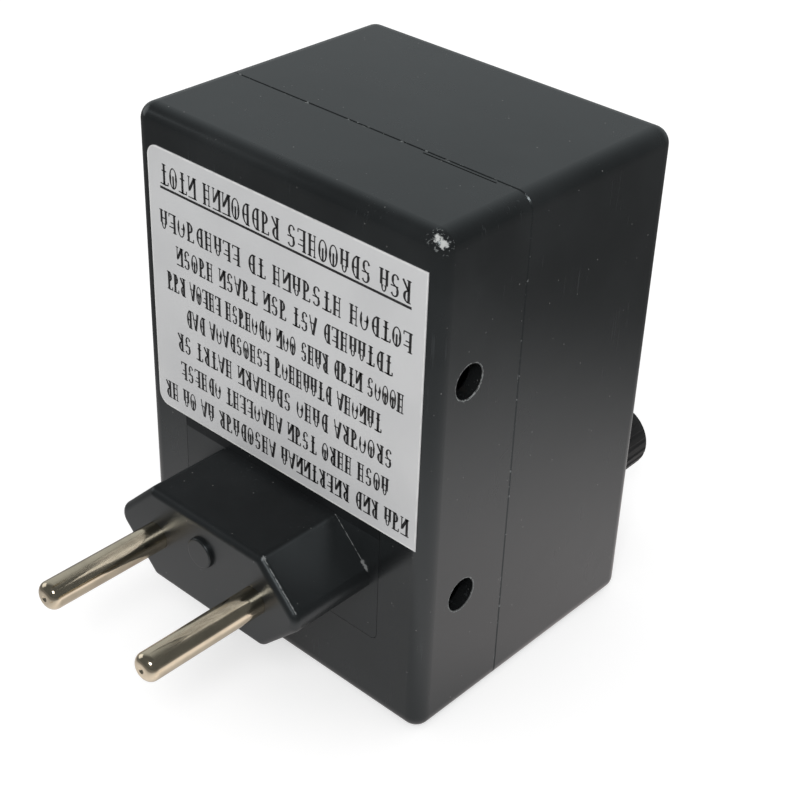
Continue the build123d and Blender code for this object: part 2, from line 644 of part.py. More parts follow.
with BuildPart() as outlet_body:
    with BuildSketch(across(CHAMBER_Y)):
        with Locations((0, OUTLET_Z)):
            SixSided(*CUP, CUP_CORNER, CUP_SIDE_CORNER)
    extrude(amount=OUTLET_RECESS + OUTLET_FLOOR)
    with BuildSketch(across(OUTLET_BOSS_Y + OUTLET_FLANGE_THICKNESS)):
        with Locations((0, OUTLET_Z)):
            RectangleRounded(OUTLET_FLANGE_WIDTH, OUTLET_FLANGE_HEIGHT, OUTLET_FLANGE_CORNER)
    extrude(amount=OUTLET_FLANGE_THICKNESS)
    with BuildSketch(across(CHAMBER_END_Y)):
        with Locations((0, OUTLET_Z)):
            RectangleRounded(CHAMBER_WIDTH, CHAMBER_HEIGHT, CHAMBER_CORNER)
    extrude(amount=CHAMBER_END_Y - CHAMBER_Y)
    with BuildSketch(across(OUTLET_FLOOR_Y)):
        with Locations((0, OUTLET_Z)):
            SixSided(*RECESS, PLUG_CORNER, PLUG_SIDE_CORNER)
    extrude(amount=OUTLET_RECESS + OVERRUN, mode=Mode.SUBTRACT)
    for side in (-1, 1):
        Turned(side * PIN_X, OUTLET_Z, (
            (0, OUTLET_FLOOR_Y - OVERRUN),
            (OUTLET_HOLE_DIAMETER / 2 + OUTLET_HOLE_LEAD, OUTLET_FLOOR_Y - OVERRUN),
            (OUTLET_HOLE_DIAMETER / 2 + OUTLET_HOLE_LEAD, OUTLET_FLOOR_Y),
            (OUTLET_HOLE_DIAMETER / 2, OUTLET_FLOOR_Y + OUTLET_HOLE_LEAD),
            (OUTLET_HOLE_DIAMETER / 2, CHAMBER_Y),
            (CHAMBER_BORE / 2, CHAMBER_Y),
            (CHAMBER_BORE / 2, CHAMBER_END_Y + OVERRUN),
            (0, CHAMBER_END_Y + OVERRUN),
        ), mode=Mode.SUBTRACT)
    with BuildSketch(across(CHAMBER_END_Y)):
        with Locations((0, OUTLET_Z)):
            Circle(SCREW_RADIUS + SCREW_BORE_GAP)
    extrude(amount=SCREW_LENGTH, mode=Mode.SUBTRACT)
    with BuildSketch(across(OUTLET_BOSS_Y + OUTLET_FLANGE_THICKNESS + OVERRUN)):
        with Locations((0, OUTLET_Z)):
            with Locations(*corners(OUTLET_SCREWS_X, OUTLET_SCREWS_Z)):
                Circle(SCREW_RADIUS + SCREW_HOLE_GAP)
    extrude(amount=OUTLET_FLANGE_THICKNESS + 2 * OVERRUN, mode=Mode.SUBTRACT)
outlet_body.part.label = "outlet_body"
export_step(outlet_body.part, "parts/outlet_body.step")

with BuildPart() as outlet_back:
    with BuildSketch(across(OUTLET_BACK_Y)):
        with Locations((0, OUTLET_Z)):
            RectangleRounded(CHAMBER_WIDTH, CHAMBER_HEIGHT, CHAMBER_CORNER)
            Circle(SCREW_RADIUS + SCREW_HOLE_GAP, mode=Mode.SUBTRACT)
            with Locations((-PIN_X, 0), (PIN_X, 0)):
                Rectangle(
                    CONTACT_TAIL_WIDTH + 2 * CONTACT_TAIL_GAP,
                    CONTACT_TAIL_THICKNESS + 2 * CONTACT_TAIL_GAP,
                    mode=Mode.SUBTRACT,
                )
    extrude(amount=OUTLET_BACK_THICKNESS)
outlet_back.part.label = "outlet_back"
export_step(outlet_back.part, "parts/outlet_back.step")

# Contacts: slit sleeves, opened as far as a plug's pin opens them, on a foot with a solder tail
CONTACT_FOOT_Y = CHAMBER_END_Y - CONTACT_FOOT_THICKNESS
CONTACT_TAIL_Y = OUTLET_BACK_Y + CONTACT_TAIL_LENGTH

for name, side in (("outlet_contact_left", -1), ("outlet_contact_right", 1)):
    with BuildPart() as contact:
        Turned(side * PIN_X, OUTLET_Z, (
            (CONTACT_BORE / 2, CHAMBER_Y + CONTACT_START),
            (CONTACT_DIAMETER / 2, CHAMBER_Y + CONTACT_START),
            (CONTACT_DIAMETER / 2, CONTACT_FOOT_Y),
            (CONTACT_FOOT_DIAMETER / 2, CONTACT_FOOT_Y),
            (CONTACT_FOOT_DIAMETER / 2, CHAMBER_END_Y),
            (0, CHAMBER_END_Y),
            (0, CONTACT_FOOT_Y),
            (CONTACT_BORE / 2, CONTACT_FOOT_Y),
        ))
        with BuildSketch(across(CONTACT_FOOT_Y)):
            with Locations((side * PIN_X, OUTLET_Z)):
                Rectangle(CONTACT_SLIT, CONTACT_DIAMETER + OVERRUN)
        extrude(amount=CONTACT_FOOT_Y - CHAMBER_Y, mode=Mode.SUBTRACT)
        with BuildSketch(across(CONTACT_TAIL_Y)):
            with Locations((side * PIN_X, OUTLET_Z)):
                Rectangle(CONTACT_TAIL_WIDTH, CONTACT_TAIL_THICKNESS)
        extrude(amount=CONTACT_TAIL_Y - CHAMBER_END_Y)
    contact.part.label = name
    export_step(contact.part, f"parts/{name}.step")

with BuildPart() as outlet_screws:
    for x, z in corners(OUTLET_SCREWS_X, OUTLET_SCREWS_Z):
        PanScrew(x, OUTLET_Z + z, OUTLET_BOSS_Y + OUTLET_FLANGE_THICKNESS, -1, SCREW_LENGTH)
outlet_screws.part.label = "outlet_screws"
export_step(outlet_screws.part, "parts/outlet_screws.step")

with BuildPart() as outlet_back_screw:
    PanScrew(0, OUTLET_Z, OUTLET_BACK_Y, -1, SCREW_LENGTH)
outlet_back_screw.part.label = "outlet_back_screw"
export_step(outlet_back_screw.part, "parts/outlet_back_screw.step")


# Potentiometer: each place inside it is counted inwards from the front shell's inner face
BUSHING_END_Y = FRONT_Y - BUSHING_PROUD
WAFER_Y = FRONT_INNER_Y + POT_FLANGE_THICKNESS
WAFER_END_Y = WAFER_Y + WAFER_THICKNESS
CAN_END_Y = FRONT_INNER_Y + CAN_LENGTH
SHAFT_RADIUS = SHAFT_DIAMETER / 2

with BuildPart() as pot_bushing:
    Turned(POT_X, POT_Z, (
        (SHAFT_RADIUS + RUNNING_GAP, BUSHING_END_Y),
        (BUSHING_DIAMETER / 2 - BUSHING_CHAMFER, BUSHING_END_Y),
        (BUSHING_DIAMETER / 2, BUSHING_END_Y + BUSHING_CHAMFER),
        (BUSHING_DIAMETER / 2, FRONT_INNER_Y),
        (POT_FLANGE_DIAMETER / 2, FRONT_INNER_Y),
        (POT_FLANGE_DIAMETER / 2, WAFER_Y),
        (SHAFT_RADIUS + RUNNING_GAP, WAFER_Y),
    ))
pot_bushing.part.label = "pot_bushing"
export_step(pot_bushing.part, "parts/pot_bushing.step")

with BuildPart() as pot_washer:
    with BuildSketch(across(FRONT_Y)):
        with Locations((POT_X, POT_Z)):
            Circle(WASHER_DIAMETER / 2)
            Circle(BUSHING_DIAMETER / 2 + BUSHING_HOLE_GAP, mode=Mode.SUBTRACT)
    extrude(amount=WASHER_THICKNESS)
pot_washer.part.label = "pot_washer"
export_step(pot_washer.part, "parts/pot_washer.step")

NUT_Y = FRONT_Y - WASHER_THICKNESS
with BuildPart() as pot_nut:
    with BuildSketch(across(NUT_Y)):
        with Locations((POT_X, POT_Z)):
            RegularPolygon(NUT_ACROSS_FLATS / 2, 6, major_radius=False)
            Circle(BUSHING_DIAMETER / 2 + FIT_GAP, mode=Mode.SUBTRACT)
    extrude(amount=NUT_THICKNESS)
    chamfer(pot_nut.faces().sort_by(Axis.Y)[0].edges().filter_by(GeomType.CIRCLE), NUT_CHAMFER)
pot_nut.part.label = "pot_nut"
export_step(pot_nut.part, "parts/pot_nut.step")

# Wafer: the round board of the resistance track, with a lug to the right for the terminals
with BuildPart() as pot_wafer:
    with BuildSketch(across(WAFER_END_Y)):
        with Locations((POT_X, POT_Z)):
            Circle(WAFER_DIAMETER / 2)
            Rectangle(WAFER_LUG_REACH, WAFER_LUG_WIDTH, align=(Align.MIN, Align.CENTER))
            Circle(WAFER_HOLE / 2, mode=Mode.SUBTRACT)
    extrude(amount=WAFER_THICKNESS)
pot_wafer.part.label = "pot_wafer"
export_step(pot_wafer.part, "parts/pot_wafer.step")

POT_TERMINAL_LENGTH = POT_TERMINAL_END - POT_TERMINAL_START
with BuildPart() as pot_terminals:
    with BuildSketch(across(WAFER_END_Y + POT_TERMINAL_THICKNESS)):
        with Locations((POT_X + POT_TERMINAL_START + POT_TERMINAL_LENGTH / 2, POT_Z)):
            with GridLocations(0, POT_TERMINAL_SPACING, 1, 3):
                Rectangle(POT_TERMINAL_LENGTH, POT_TERMINAL_WIDTH)
    extrude(amount=POT_TERMINAL_THICKNESS)
pot_terminals.part.label = "pot_terminals"
export_step(pot_terminals.part, "parts/pot_terminals.step")

with BuildPart() as pot_can:
    Turned(POT_X, POT_Z, (
        (CAN_DIAMETER / 2 - CAN_WALL, FRONT_INNER_Y),
        (CAN_DIAMETER / 2, FRONT_INNER_Y),
        (CAN_DIAMETER / 2, CAN_END_Y),
        (CAN_HOLE / 2, CAN_END_Y),
        (CAN_HOLE / 2, CAN_END_Y - CAN_WALL),
        (CAN_DIAMETER / 2 - CAN_WALL, CAN_END_Y - CAN_WALL),
    ))
    with BuildSketch(across(WAFER_END_Y + POT_TERMINAL_THICKNESS + CAN_WINDOW_GAP)):
        with Locations((POT_X, POT_Z)):
            Rectangle(
                CAN_DIAMETER, WAFER_LUG_WIDTH + 2 * CAN_WINDOW_GAP, align=(Align.MIN, Align.CENTER)
            )
    extrude(amount=WAFER_THICKNESS + POT_TERMINAL_THICKNESS + 2 * CAN_WINDOW_GAP, mode=Mode.SUBTRACT)
pot_can.part.label = "pot_can"
export_step(pot_can.part, "parts/pot_can.step")


# What turns: shaft, its clip, the wiper, the switch's cam, the knob and its pointer
SHAFT_TIP_Y = FRONT_Y - SHAFT_PROUD
GROOVE_Y = WAFER_Y + CLIP_OFFSET
SHOULDER_Y = FRONT_INNER_Y + SHOULDER_PLACE
TAIL_END_Y = FRONT_INNER_Y + TAIL_END
KNOB_BASE_Y = BUSHING_END_Y - KNOB_LIFT
KNOB_TOP_Y = FRONT_Y - KNOB_HEIGHT

with BuildPart() as pot_shaft:
    Turned(POT_X, POT_Z, (
        (0, SHAFT_TIP_Y),
        (SHAFT_RADIUS, SHAFT_TIP_Y),
        (SHAFT_RADIUS, GROOVE_Y),
        (GROOVE_DIAMETER / 2, GROOVE_Y),
        (GROOVE_DIAMETER / 2, GROOVE_Y + GROOVE_WIDTH),
        (SHAFT_RADIUS, GROOVE_Y + GROOVE_WIDTH),
        (SHAFT_RADIUS, SHOULDER_Y),
        (TAIL_DIAMETER / 2, SHOULDER_Y),
        (TAIL_DIAMETER / 2, TAIL_END_Y),
        (0, TAIL_END_Y),
    ))
    chamfer(pot_shaft.faces().sort_by(Axis.Y)[0].edges(), BUSHING_CHAMFER)
    # Flat that drives the knob
    with BuildSketch(across(SHAFT_TIP_Y + SHAFT_FLAT_LENGTH)):
        with Locations(Location((POT_X, POT_Z), POINTER_ANGLE)):
            with Locations((SHAFT_FLAT - SHAFT_RADIUS, 0)):
                Rectangle(SHAFT_DIAMETER, SHAFT_DIAMETER + OVERRUN, align=(Align.MIN, Align.CENTER))
    extrude(amount=SHAFT_FLAT_LENGTH + OVERRUN, mode=Mode.SUBTRACT)
pot_shaft.part.label = "pot_shaft"
export_step(pot_shaft.part, "parts/pot_shaft.step")

with BuildPart() as shaft_clip:
    with BuildSketch(across(GROOVE_Y + CLIP_THICKNESS)):
        with Locations((POT_X, POT_Z)):
            Circle(CLIP_DIAMETER / 2)
            Circle(GROOVE_DIAMETER / 2 + FIT_GAP, mode=Mode.SUBTRACT)
            Rectangle(CLIP_DIAMETER, CLIP_OPENING, align=(Align.MIN, Align.CENTER), mode=Mode.SUBTRACT)
    extrude(amount=CLIP_THICKNESS)
shaft_clip.part.label = "shaft_clip"
export_step(shaft_clip.part, "parts/shaft_clip.step")

with BuildPart() as wiper_carrier:
    with BuildSketch(across(SHOULDER_Y + CARRIER_THICKNESS)):
        with Locations((POT_X, POT_Z)):
            Circle(CARRIER_DIAMETER / 2)
            Circle(TAIL_DIAMETER / 2 + FIT_GAP, mode=Mode.SUBTRACT)
    extrude(amount=CARRIER_THICKNESS)
wiper_carrier.part.label = "wiper_carrier"
export_step(wiper_carrier.part, "parts/wiper_carrier.step")

# Wiper: a thin ring on the carrier with two dimples that reach for the track
with BuildPart() as wiper_spring:
    with BuildSketch(across(SHOULDER_Y)):
        with Locations((POT_X, POT_Z)):
            Circle(SPRING_OUTER_DIAMETER / 2)
            Circle(SPRING_INNER_DIAMETER / 2, mode=Mode.SUBTRACT)
    extrude(amount=SPRING_THICKNESS)
    with BuildSketch(across(SHOULDER_Y - SPRING_THICKNESS)):
        with Locations((POT_X, POT_Z)):
            with PolarLocations(SPRING_TRACK_RADIUS, 2):
                Circle(SPRING_DIMPLE_DIAMETER / 2)
    extrude(amount=SPRING_DIMPLE_HEIGHT)
wiper_spring.part.label = "wiper_spring"
export_step(wiper_spring.part, "parts/wiper_spring.step")

CAM_Y = FRONT_INNER_Y + CAM_START
CAM_END_Y = CAM_Y + CAM_THICKNESS
with BuildPart() as switch_cam:
    with BuildSketch(across(CAM_END_Y)):
        with Locations((POT_X, POT_Z)):
            Circle(CAM_HUB_DIAMETER / 2)
        with Locations(Location((POT_X, POT_Z), CAM_ANGLE)):
            Rectangle(CAM_PIN_RADIUS + CAM_PIN_DIAMETER / 2, CAM_FINGER_WIDTH, align=(Align.MIN, Align.CENTER))
            Circle(TAIL_DIAMETER / 2 + FIT_GAP, mode=Mode.SUBTRACT)
    extrude(amount=CAM_THICKNESS)
    with BuildSketch(across(CAM_END_Y + CAM_PIN_LENGTH)):
        with Locations(Location((POT_X, POT_Z), CAM_ANGLE)):
            with Locations((CAM_PIN_RADIUS, 0)):
                Circle(CAM_PIN_DIAMETER / 2)
    extrude(amount=CAM_PIN_LENGTH)
switch_cam.part.label = "switch_cam"
export_step(switch_cam.part, "parts/switch_cam.step")

# Knob: slightly tapered, fluted above a plain skirt, with a line from its middle to its rim
FLUTE_CIRCLE = KNOB_DIAMETER / 2 + FLUTE_DIAMETER / 2 - FLUTE_DEPTH
with BuildPart() as knob:
    Turned(POT_X, POT_Z, (
        (0, KNOB_TOP_Y),
        (KNOB_TOP_DIAMETER / 2, KNOB_TOP_Y),
        (KNOB_DIAMETER / 2, KNOB_BASE_Y - KNOB_SKIRT),
        (KNOB_DIAMETER / 2, KNOB_BASE_Y),
        (0, KNOB_BASE_Y),
    ))
    fillet(knob.faces().sort_by(Axis.Y)[0].edges(), KNOB_TOP_RADIUS)
    with BuildSketch(across(KNOB_BASE_Y - KNOB_SKIRT)):
        with Locations((POT_X, POT_Z)):
            with PolarLocations(FLUTE_CIRCLE, FLUTE_COUNT):
                Circle(FLUTE_DIAMETER / 2)
    extrude(amount=KNOB_HEIGHT, mode=Mode.SUBTRACT)
    # Bore with the flat of the shaft
    with BuildSketch(across(KNOB_BASE_Y)):
        with Locations(Location((POT_X, POT_Z), POINTER_ANGLE)):
            Circle(SHAFT_RADIUS + KNOB_BORE_GAP)
    extrude(amount=KNOB_BORE_DEPTH, mode=Mode.SUBTRACT)
    with BuildSketch(across(SHAFT_TIP_Y + SHAFT_FLAT_LENGTH - KNOB_LIFT)):
        with Locations(Location((POT_X, POT_Z), POINTER_ANGLE)):
            with Locations((SHAFT_FLAT - SHAFT_RADIUS + KNOB_BORE_GAP, 0)):
                Rectangle(SHAFT_RADIUS, SHAFT_DIAMETER, align=(Align.MIN, Align.CENTER))
    extrude(amount=SHAFT_FLAT_LENGTH)
    with BuildSketch(across(KNOB_TOP_Y + POINTER_DEPTH)):
        with Locations(Location((POT_X, POT_Z), POINTER_ANGLE)):
            with Locations((POINTER_START, 0)):
                Rectangle(KNOB_DIAMETER, POINTER_WIDTH, align=(Align.MIN, Align.CENTER))
    extrude(amount=POINTER_DEPTH + OVERRUN, mode=Mode.SUBTRACT)
knob.part.label = "knob"
export_step(knob.part, "parts/knob.step")

with BuildPart() as knob_pointer:
    with BuildSketch(across(KNOB_TOP_Y + POINTER_DEPTH)):
        with Locations(Location((POT_X, POT_Z), POINTER_ANGLE)):
            with Locations((POINTER_START + POINTER_PLAY, 0)):
                Rectangle(
                    KNOB_TOP_DIAMETER / 2 - KNOB_TOP_RADIUS - POINTER_START,
                    POINTER_WIDTH - 2 * POINTER_PLAY,
                    align=(Align.MIN, Align.CENTER),
                )
    extrude(amount=POINTER_DEPTH)
knob_pointer.part.label = "knob_pointer"
export_step(knob_pointer.part, "parts/knob_pointer.step")


# Switch: a cup behind the can, with a rocking contact on one terminal and a fixed stud on the other
SWITCH_END_Y = CAN_END_Y + SWITCH_LENGTH
SWITCH_INNER_Y = SWITCH_END_Y - SWITCH_REAR_WALL
ROCKER_Y = FRONT_INNER_Y + ROCKER_START
ROCKER_END_Y = ROCKER_Y + ROCKER_THICKNESS
PIVOT_X = POT_X
PIVOT_Z = POT_Z + ROCKER_PIVOT_RADIUS
STUD_X = POT_X - STUD_REACH
STUD_Z = POT_Z + STUD_RISE

with BuildPart() as switch_housing:
    Turned(POT_X, POT_Z, (
        (CAN_DIAMETER / 2 - SWITCH_WALL, CAN_END_Y),
        (CAN_DIAMETER / 2, CAN_END_Y),
        (CAN_DIAMETER / 2, SWITCH_END_Y),
        (0, SWITCH_END_Y),
        (0, SWITCH_INNER_Y),
        (CAN_DIAMETER / 2 - SWITCH_WALL, SWITCH_INNER_Y),
    ))
    with BuildSketch(across(SWITCH_END_Y + OVERRUN)):
        with Locations((PIVOT_X, PIVOT_Z)):
            Circle(PIVOT_SHOULDER_DIAMETER / 2 + FIT_GAP)
        with Locations((STUD_X, STUD_Z)):
            Circle(STUD_DIAMETER / 2 + FIT_GAP)
    extrude(amount=SWITCH_REAR_WALL + 2 * OVERRUN, mode=Mode.SUBTRACT)
switch_housing.part.label = "switch_housing"
export_step(switch_housing.part, "parts/switch_housing.step")

with BuildPart() as switch_terminals:
    Turned(PIVOT_X, PIVOT_Z, (
        (0, ROCKER_Y),
        (ROCKER_PIVOT_DIAMETER / 2, ROCKER_Y),
        (ROCKER_PIVOT_DIAMETER / 2, ROCKER_END_Y + PIVOT_SHOULDER_GAP),
        (PIVOT_SHOULDER_DIAMETER / 2, ROCKER_END_Y + PIVOT_SHOULDER_GAP),
        (PIVOT_SHOULDER_DIAMETER / 2, SWITCH_END_Y),
        (0, SWITCH_END_Y),
    ))
    with BuildSketch(across(SWITCH_END_Y)):
        with Locations((STUD_X, STUD_Z)):
            Circle(STUD_DIAMETER / 2)
    extrude(amount=SWITCH_END_Y - ROCKER_Y)
    with BuildSketch(across(SWITCH_END_Y + SWITCH_TAB_LENGTH)):
        with Locations((PIVOT_X, PIVOT_Z), (STUD_X, STUD_Z)):
            Rectangle(SWITCH_TAB_WIDTH, SWITCH_TAB_THICKNESS)
    extrude(amount=SWITCH_TAB_LENGTH)
switch_terminals.part.label = "switch_terminals"
export_step(switch_terminals.part, "parts/switch_terminals.step")

with BuildPart() as switch_rocker:
    with BuildSketch(across(ROCKER_END_Y)):
        with Locations((PIVOT_X, PIVOT_Z)):
            Circle(ROCKER_HUB_DIAMETER / 2)
            Polygon(
                (0, ROCKER_ARM_WIDTH / 2), (-ROCKER_ARM_REACH, ROCKER_ARM_WIDTH / 2 - ROCKER_ARM_DROP),
                (-ROCKER_ARM_REACH, -ROCKER_ARM_WIDTH / 2 - ROCKER_ARM_DROP), (0, -ROCKER_ARM_WIDTH / 2),
                align=None,
            )
            Polygon(
                (-ROCKER_NOSE_WIDTH / 2, 0), (ROCKER_NOSE_WIDTH / 2, 0), (0, -ROCKER_NOSE_REACH), align=None
            )
            Circle(ROCKER_PIVOT_DIAMETER / 2 + RUNNING_GAP, mode=Mode.SUBTRACT)
    extrude(amount=ROCKER_THICKNESS)
switch_rocker.part.label = "switch_rocker"
export_step(switch_rocker.part, "parts/switch_rocker.step")


# Heat sink: a finned bar that stands out from the board, with the triac bolted on top of its base
SINK_BOTTOM_Z = BOARD_BOTTOM_Z + HEATSINK_RISE
SINK_TOP_Z = SINK_BOTTOM_Z + HEATSINK_BASE
SINK_SCREW_Z = SINK_BOTTOM_Z + HEATSINK_BASE / 2
SINK_END_Y = BOARD_FRONT_Y - HEATSINK_LENGTH
TAB_Z = SINK_TOP_Z + PAD_THICKNESS
TAB_END_Y = SINK_END_Y + TAB_INSET
TRIAC_Y = TAB_END_Y + TAB_LENGTH
BOLT_Y = TAB_END_Y + TAB_HOLE_INSET
BOLT_RADIUS = BOLT_DIAMETER / 2
TRIAC_LEAD_Z = TAB_Z + TRIAC_LEAD_RISE
LEAD_END_Y = BOARD_REAR_Y + LEAD_OVERHANG
TRIAC_LEADS_X = (-TRIAC_LEAD_PITCH, 0, TRIAC_LEAD_PITCH)

with BuildPart() as heatsink:
    with BuildSketch(across(BOARD_FRONT_Y)):
        with Locations((0, SINK_BOTTOM_Z)):
            Rectangle(HEATSINK_WIDTH, HEATSINK_BASE, align=(Align.CENTER, Align.MIN))
            for side in (-1, 1):
                for step in range(FINS_A_SIDE):
                    with Locations((side * (FIN_GAP_MIDDLE / 2 + step * FIN_PITCH), 0)):
                        Rectangle(FIN_THICKNESS, FIN_HEIGHT, align=(Align.CENTER, Align.MAX))
    extrude(amount=HEATSINK_LENGTH)
    with BuildSketch(level(SINK_TOP_Z + OVERRUN)):
        with Locations((0, BOLT_Y)):
            Circle(BOLT_RADIUS + BOLT_HOLE_GAP)
    extrude(amount=-HEATSINK_BASE - 2 * OVERRUN, mode=Mode.SUBTRACT)
    with BuildSketch(across(BOARD_FRONT_Y)):
        with Locations((0, SINK_SCREW_Z)):
            with GridLocations(HEATSINK_SCREW_SPACING, 0, 2, 1):
                Circle(SCREW_RADIUS + SCREW_BORE_GAP)
    extrude(amount=HEATSINK_SCREW_LENGTH, mode=Mode.SUBTRACT)
heatsink.part.label = "heatsink"
export_step(heatsink.part, "parts/heatsink.step")

with BuildPart() as insulating_pad:
    with BuildSketch(level(SINK_TOP_Z)):
        with Locations((0, SINK_END_Y + PAD_INSET - TAB_INSET)):
            Rectangle(PAD_WIDTH, PAD_LENGTH, align=(Align.CENTER, Align.MIN))
        with Locations((0, BOLT_Y)):
            Circle(BOLT_RADIUS + BOLT_HOLE_GAP, mode=Mode.SUBTRACT)
    extrude(amount=PAD_THICKNESS)
insulating_pad.part.label = "insulating_pad"
export_step(insulating_pad.part, "parts/insulating_pad.step")

with BuildPart() as triac_tab:
    with BuildSketch(level(TAB_Z)):
        with Locations((0, TAB_END_Y)):
            Rectangle(TAB_WIDTH, TAB_LENGTH, align=(Align.CENTER, Align.MIN))
        with Locations((0, BOLT_Y)):
            Circle(TAB_HOLE_DIAMETER / 2, mode=Mode.SUBTRACT)
    extrude(amount=TAB_THICKNESS)
triac_tab.part.label = "triac_tab"
export_step(triac_tab.part, "parts/triac_tab.step")

with BuildPart() as triac_body:
    with BuildSketch(level(TAB_Z + TAB_THICKNESS)):
        with Locations((0, TRIAC_Y)):
            Rectangle(TAB_WIDTH, TRIAC_LENGTH, align=(Align.CENTER, Align.MAX))
    extrude(amount=TRIAC_HEIGHT)
    chamfer(triac_body.faces().sort_by(Axis.Z)[-1].edges(), TRIAC_CHAMFER)
triac_body.part.label = "triac_body"
export_step(triac_body.part, "parts/triac_body.step")

# Leads of the triac: they rise from its tab's end and run through the board
with BuildPart() as triac_leads:
    for x in TRIAC_LEADS_X:
        with BuildSketch(across(LEAD_END_Y)):
            with Locations((x, TRIAC_LEAD_Z)):
                Rectangle(TRIAC_LEAD_WIDTH, TRIAC_LEAD_THICKNESS, align=(Align.CENTER, Align.MAX))
        extrude(amount=LEAD_END_Y - TRIAC_Y)
triac_leads.part.label = "triac_leads"
export_step(triac_leads.part, "parts/triac_leads.step")

with BuildPart() as triac_bolt:
    with BuildSketch(level(TAB_Z + TAB_THICKNESS)):
        with Locations((0, BOLT_Y)):
            Circle(BOLT_HEAD_DIAMETER / 2)
    extrude(amount=BOLT_HEAD_HEIGHT)
    fillet(triac_bolt.faces().sort_by(Axis.Z)[-1].edges(), BOLT_HEAD_HEIGHT / 2)
    with BuildSketch(level(TAB_Z + TAB_THICKNESS + BOLT_HEAD_HEIGHT)):
        with Locations((0, BOLT_Y)):
            Rectangle(DRIVE_LENGTH, DRIVE_WIDTH)
            Rectangle(DRIVE_WIDTH, DRIVE_LENGTH)
    extrude(amount=-DRIVE_DEPTH, mode=Mode.SUBTRACT)
    with BuildSketch(level(TAB_Z + TAB_THICKNESS)):
        with Locations((0, BOLT_Y)):
            Circle(BOLT_RADIUS)
    extrude(amount=-TAB_THICKNESS - PAD_THICKNESS - HEATSINK_BASE - BOLT_NUT_THICKNESS - BOLT_TIP_PROUD)
triac_bolt.part.label = "triac_bolt"
export_step(triac_bolt.part, "parts/triac_bolt.step")

with BuildPart() as triac_nut:
    with BuildSketch(level(SINK_BOTTOM_Z)):
        with Locations((0, BOLT_Y)):
            RegularPolygon(BOLT_NUT_FLATS / 2, 6, major_radius=False, rotation=30)
            Circle(BOLT_RADIUS + FIT_GAP, mode=Mode.SUBTRACT)
    extrude(amount=-BOLT_NUT_THICKNESS)
triac_nut.part.label = "triac_nut"
export_step(triac_nut.part, "parts/triac_nut.step")

with BuildPart() as heatsink_screws:
    for side in (-1, 1):
        PanScrew(
            side * HEATSINK_SCREW_SPACING / 2, SINK_SCREW_Z, BOARD_REAR_Y, -1, HEATSINK_SCREW_LENGTH
        )
heatsink_screws.part.label = "heatsink_screws"
export_step(heatsink_screws.part, "parts/heatsink_screws.step")


# Board and its small components
def axial_leads(x, rise, length, diameter):
    """The two points on the board where the bent leads of a lying component go through it."""
    reach = length / 2 + LEAD_RUN
    return [(x - reach, BOARD_BOTTOM_Z + rise), (x + reach, BOARD_BOTTOM_Z + rise)]


def upright_leads(x, rise, pitch):
    """The two points on the board where the straight leads of a standing component go through it."""
    return [(x - pitch / 2, BOARD_BOTTOM_Z + rise), (x + pitch / 2, BOARD_BOTTOM_Z + rise)]


DIAC = (DIAC_X, DIAC_RISE, DIAC_LENGTH, DIAC_DIAMETER)
TIMING_RESISTOR = (
    TIMING_RESISTOR_X, TIMING_RESISTOR_RISE, TIMING_RESISTOR_LENGTH, TIMING_RESISTOR_DIAMETER
)
SNUBBER_RESISTOR = (
    SNUBBER_RESISTOR_X, SNUBBER_RESISTOR_RISE, SNUBBER_RESISTOR_LENGTH, SNUBBER_RESISTOR_DIAMETER
)
SNUBBER_RISE = BOARD_HEIGHT - SNUBBER_DROP
TIMING_RISE = BOARD_HEIGHT - TIMING_DROP
CAPACITOR_LEADS = upright_leads(SNUBBER_X, SNUBBER_RISE, SNUBBER_PITCH)
CAPACITOR_LEADS += upright_leads(TIMING_X, TIMING_RISE, TIMING_PITCH)
BOARD_HOLES = CAPACITOR_LEADS + axial_leads(*DIAC) + axial_leads(*TIMING_RESISTOR)
BOARD_HOLES += axial_leads(*SNUBBER_RESISTOR)
BOARD_HOLES += [(x, TRIAC_LEAD_Z - TRIAC_LEAD_THICKNESS / 2) for x in TRIAC_LEADS_X]

with BuildPart() as circuit_board:
    with BuildSketch(across(BOARD_REAR_Y)):
        with Locations((0, BOARD_MIDDLE_Z)):
            RectangleRounded(BOARD_WIDTH, BOARD_HEIGHT, BOARD_CORNER)
            with Locations(*corners(BOARD_SCREWS_X, BOARD_SCREWS_Z)):
                Circle(SCREW_RADIUS + SCREW_HOLE_GAP, mode=Mode.SUBTRACT)
        with Locations((0, SINK_SCREW_Z)):
            with GridLocations(HEATSINK_SCREW_SPACING, 0, 2, 1):
                Circle(SCREW_RADIUS + SCREW_HOLE_GAP, mode=Mode.SUBTRACT)
        with Locations(*BOARD_HOLES):
            Circle(LEAD_HOLE_DIAMETER / 2, mode=Mode.SUBTRACT)
    extrude(amount=BOARD_THICKNESS)
circuit_board.part.label = "circuit_board"
export_step(circuit_board.part, "parts/circuit_board.step")

with BuildPart() as board_screws:
    for x, z in corners(BOARD_SCREWS_X, BOARD_SCREWS_Z):
        PanScrew(x, BOARD_MIDDLE_Z + z, BOARD_FRONT_Y, 1, SCREW_LENGTH)
board_screws.part.label = "board_screws"
export_step(board_screws.part, "parts/board_screws.step")

# Components that lie on the board, each a rounded cylinder along X
for name, (x, rise, length, diameter) in (
    ("diac", DIAC),
    ("timing_resistor", TIMING_RESISTOR),
    ("snubber_resistor", SNUBBER_RESISTOR),
):
    with BuildPart() as component:
        with BuildSketch(Plane.YZ.offset(x - length / 2)):
            with Locations((BOARD_FRONT_Y - AXIAL_LIFT - diameter / 2, BOARD_BOTTOM_Z + rise)):
                Circle(diameter / 2)
        extrude(amount=length)
        fillet(component.edges().filter_by(GeomType.CIRCLE), COMPONENT_CORNER)
    component.part.label = name
    export_step(component.part, f"parts/{name}.step")


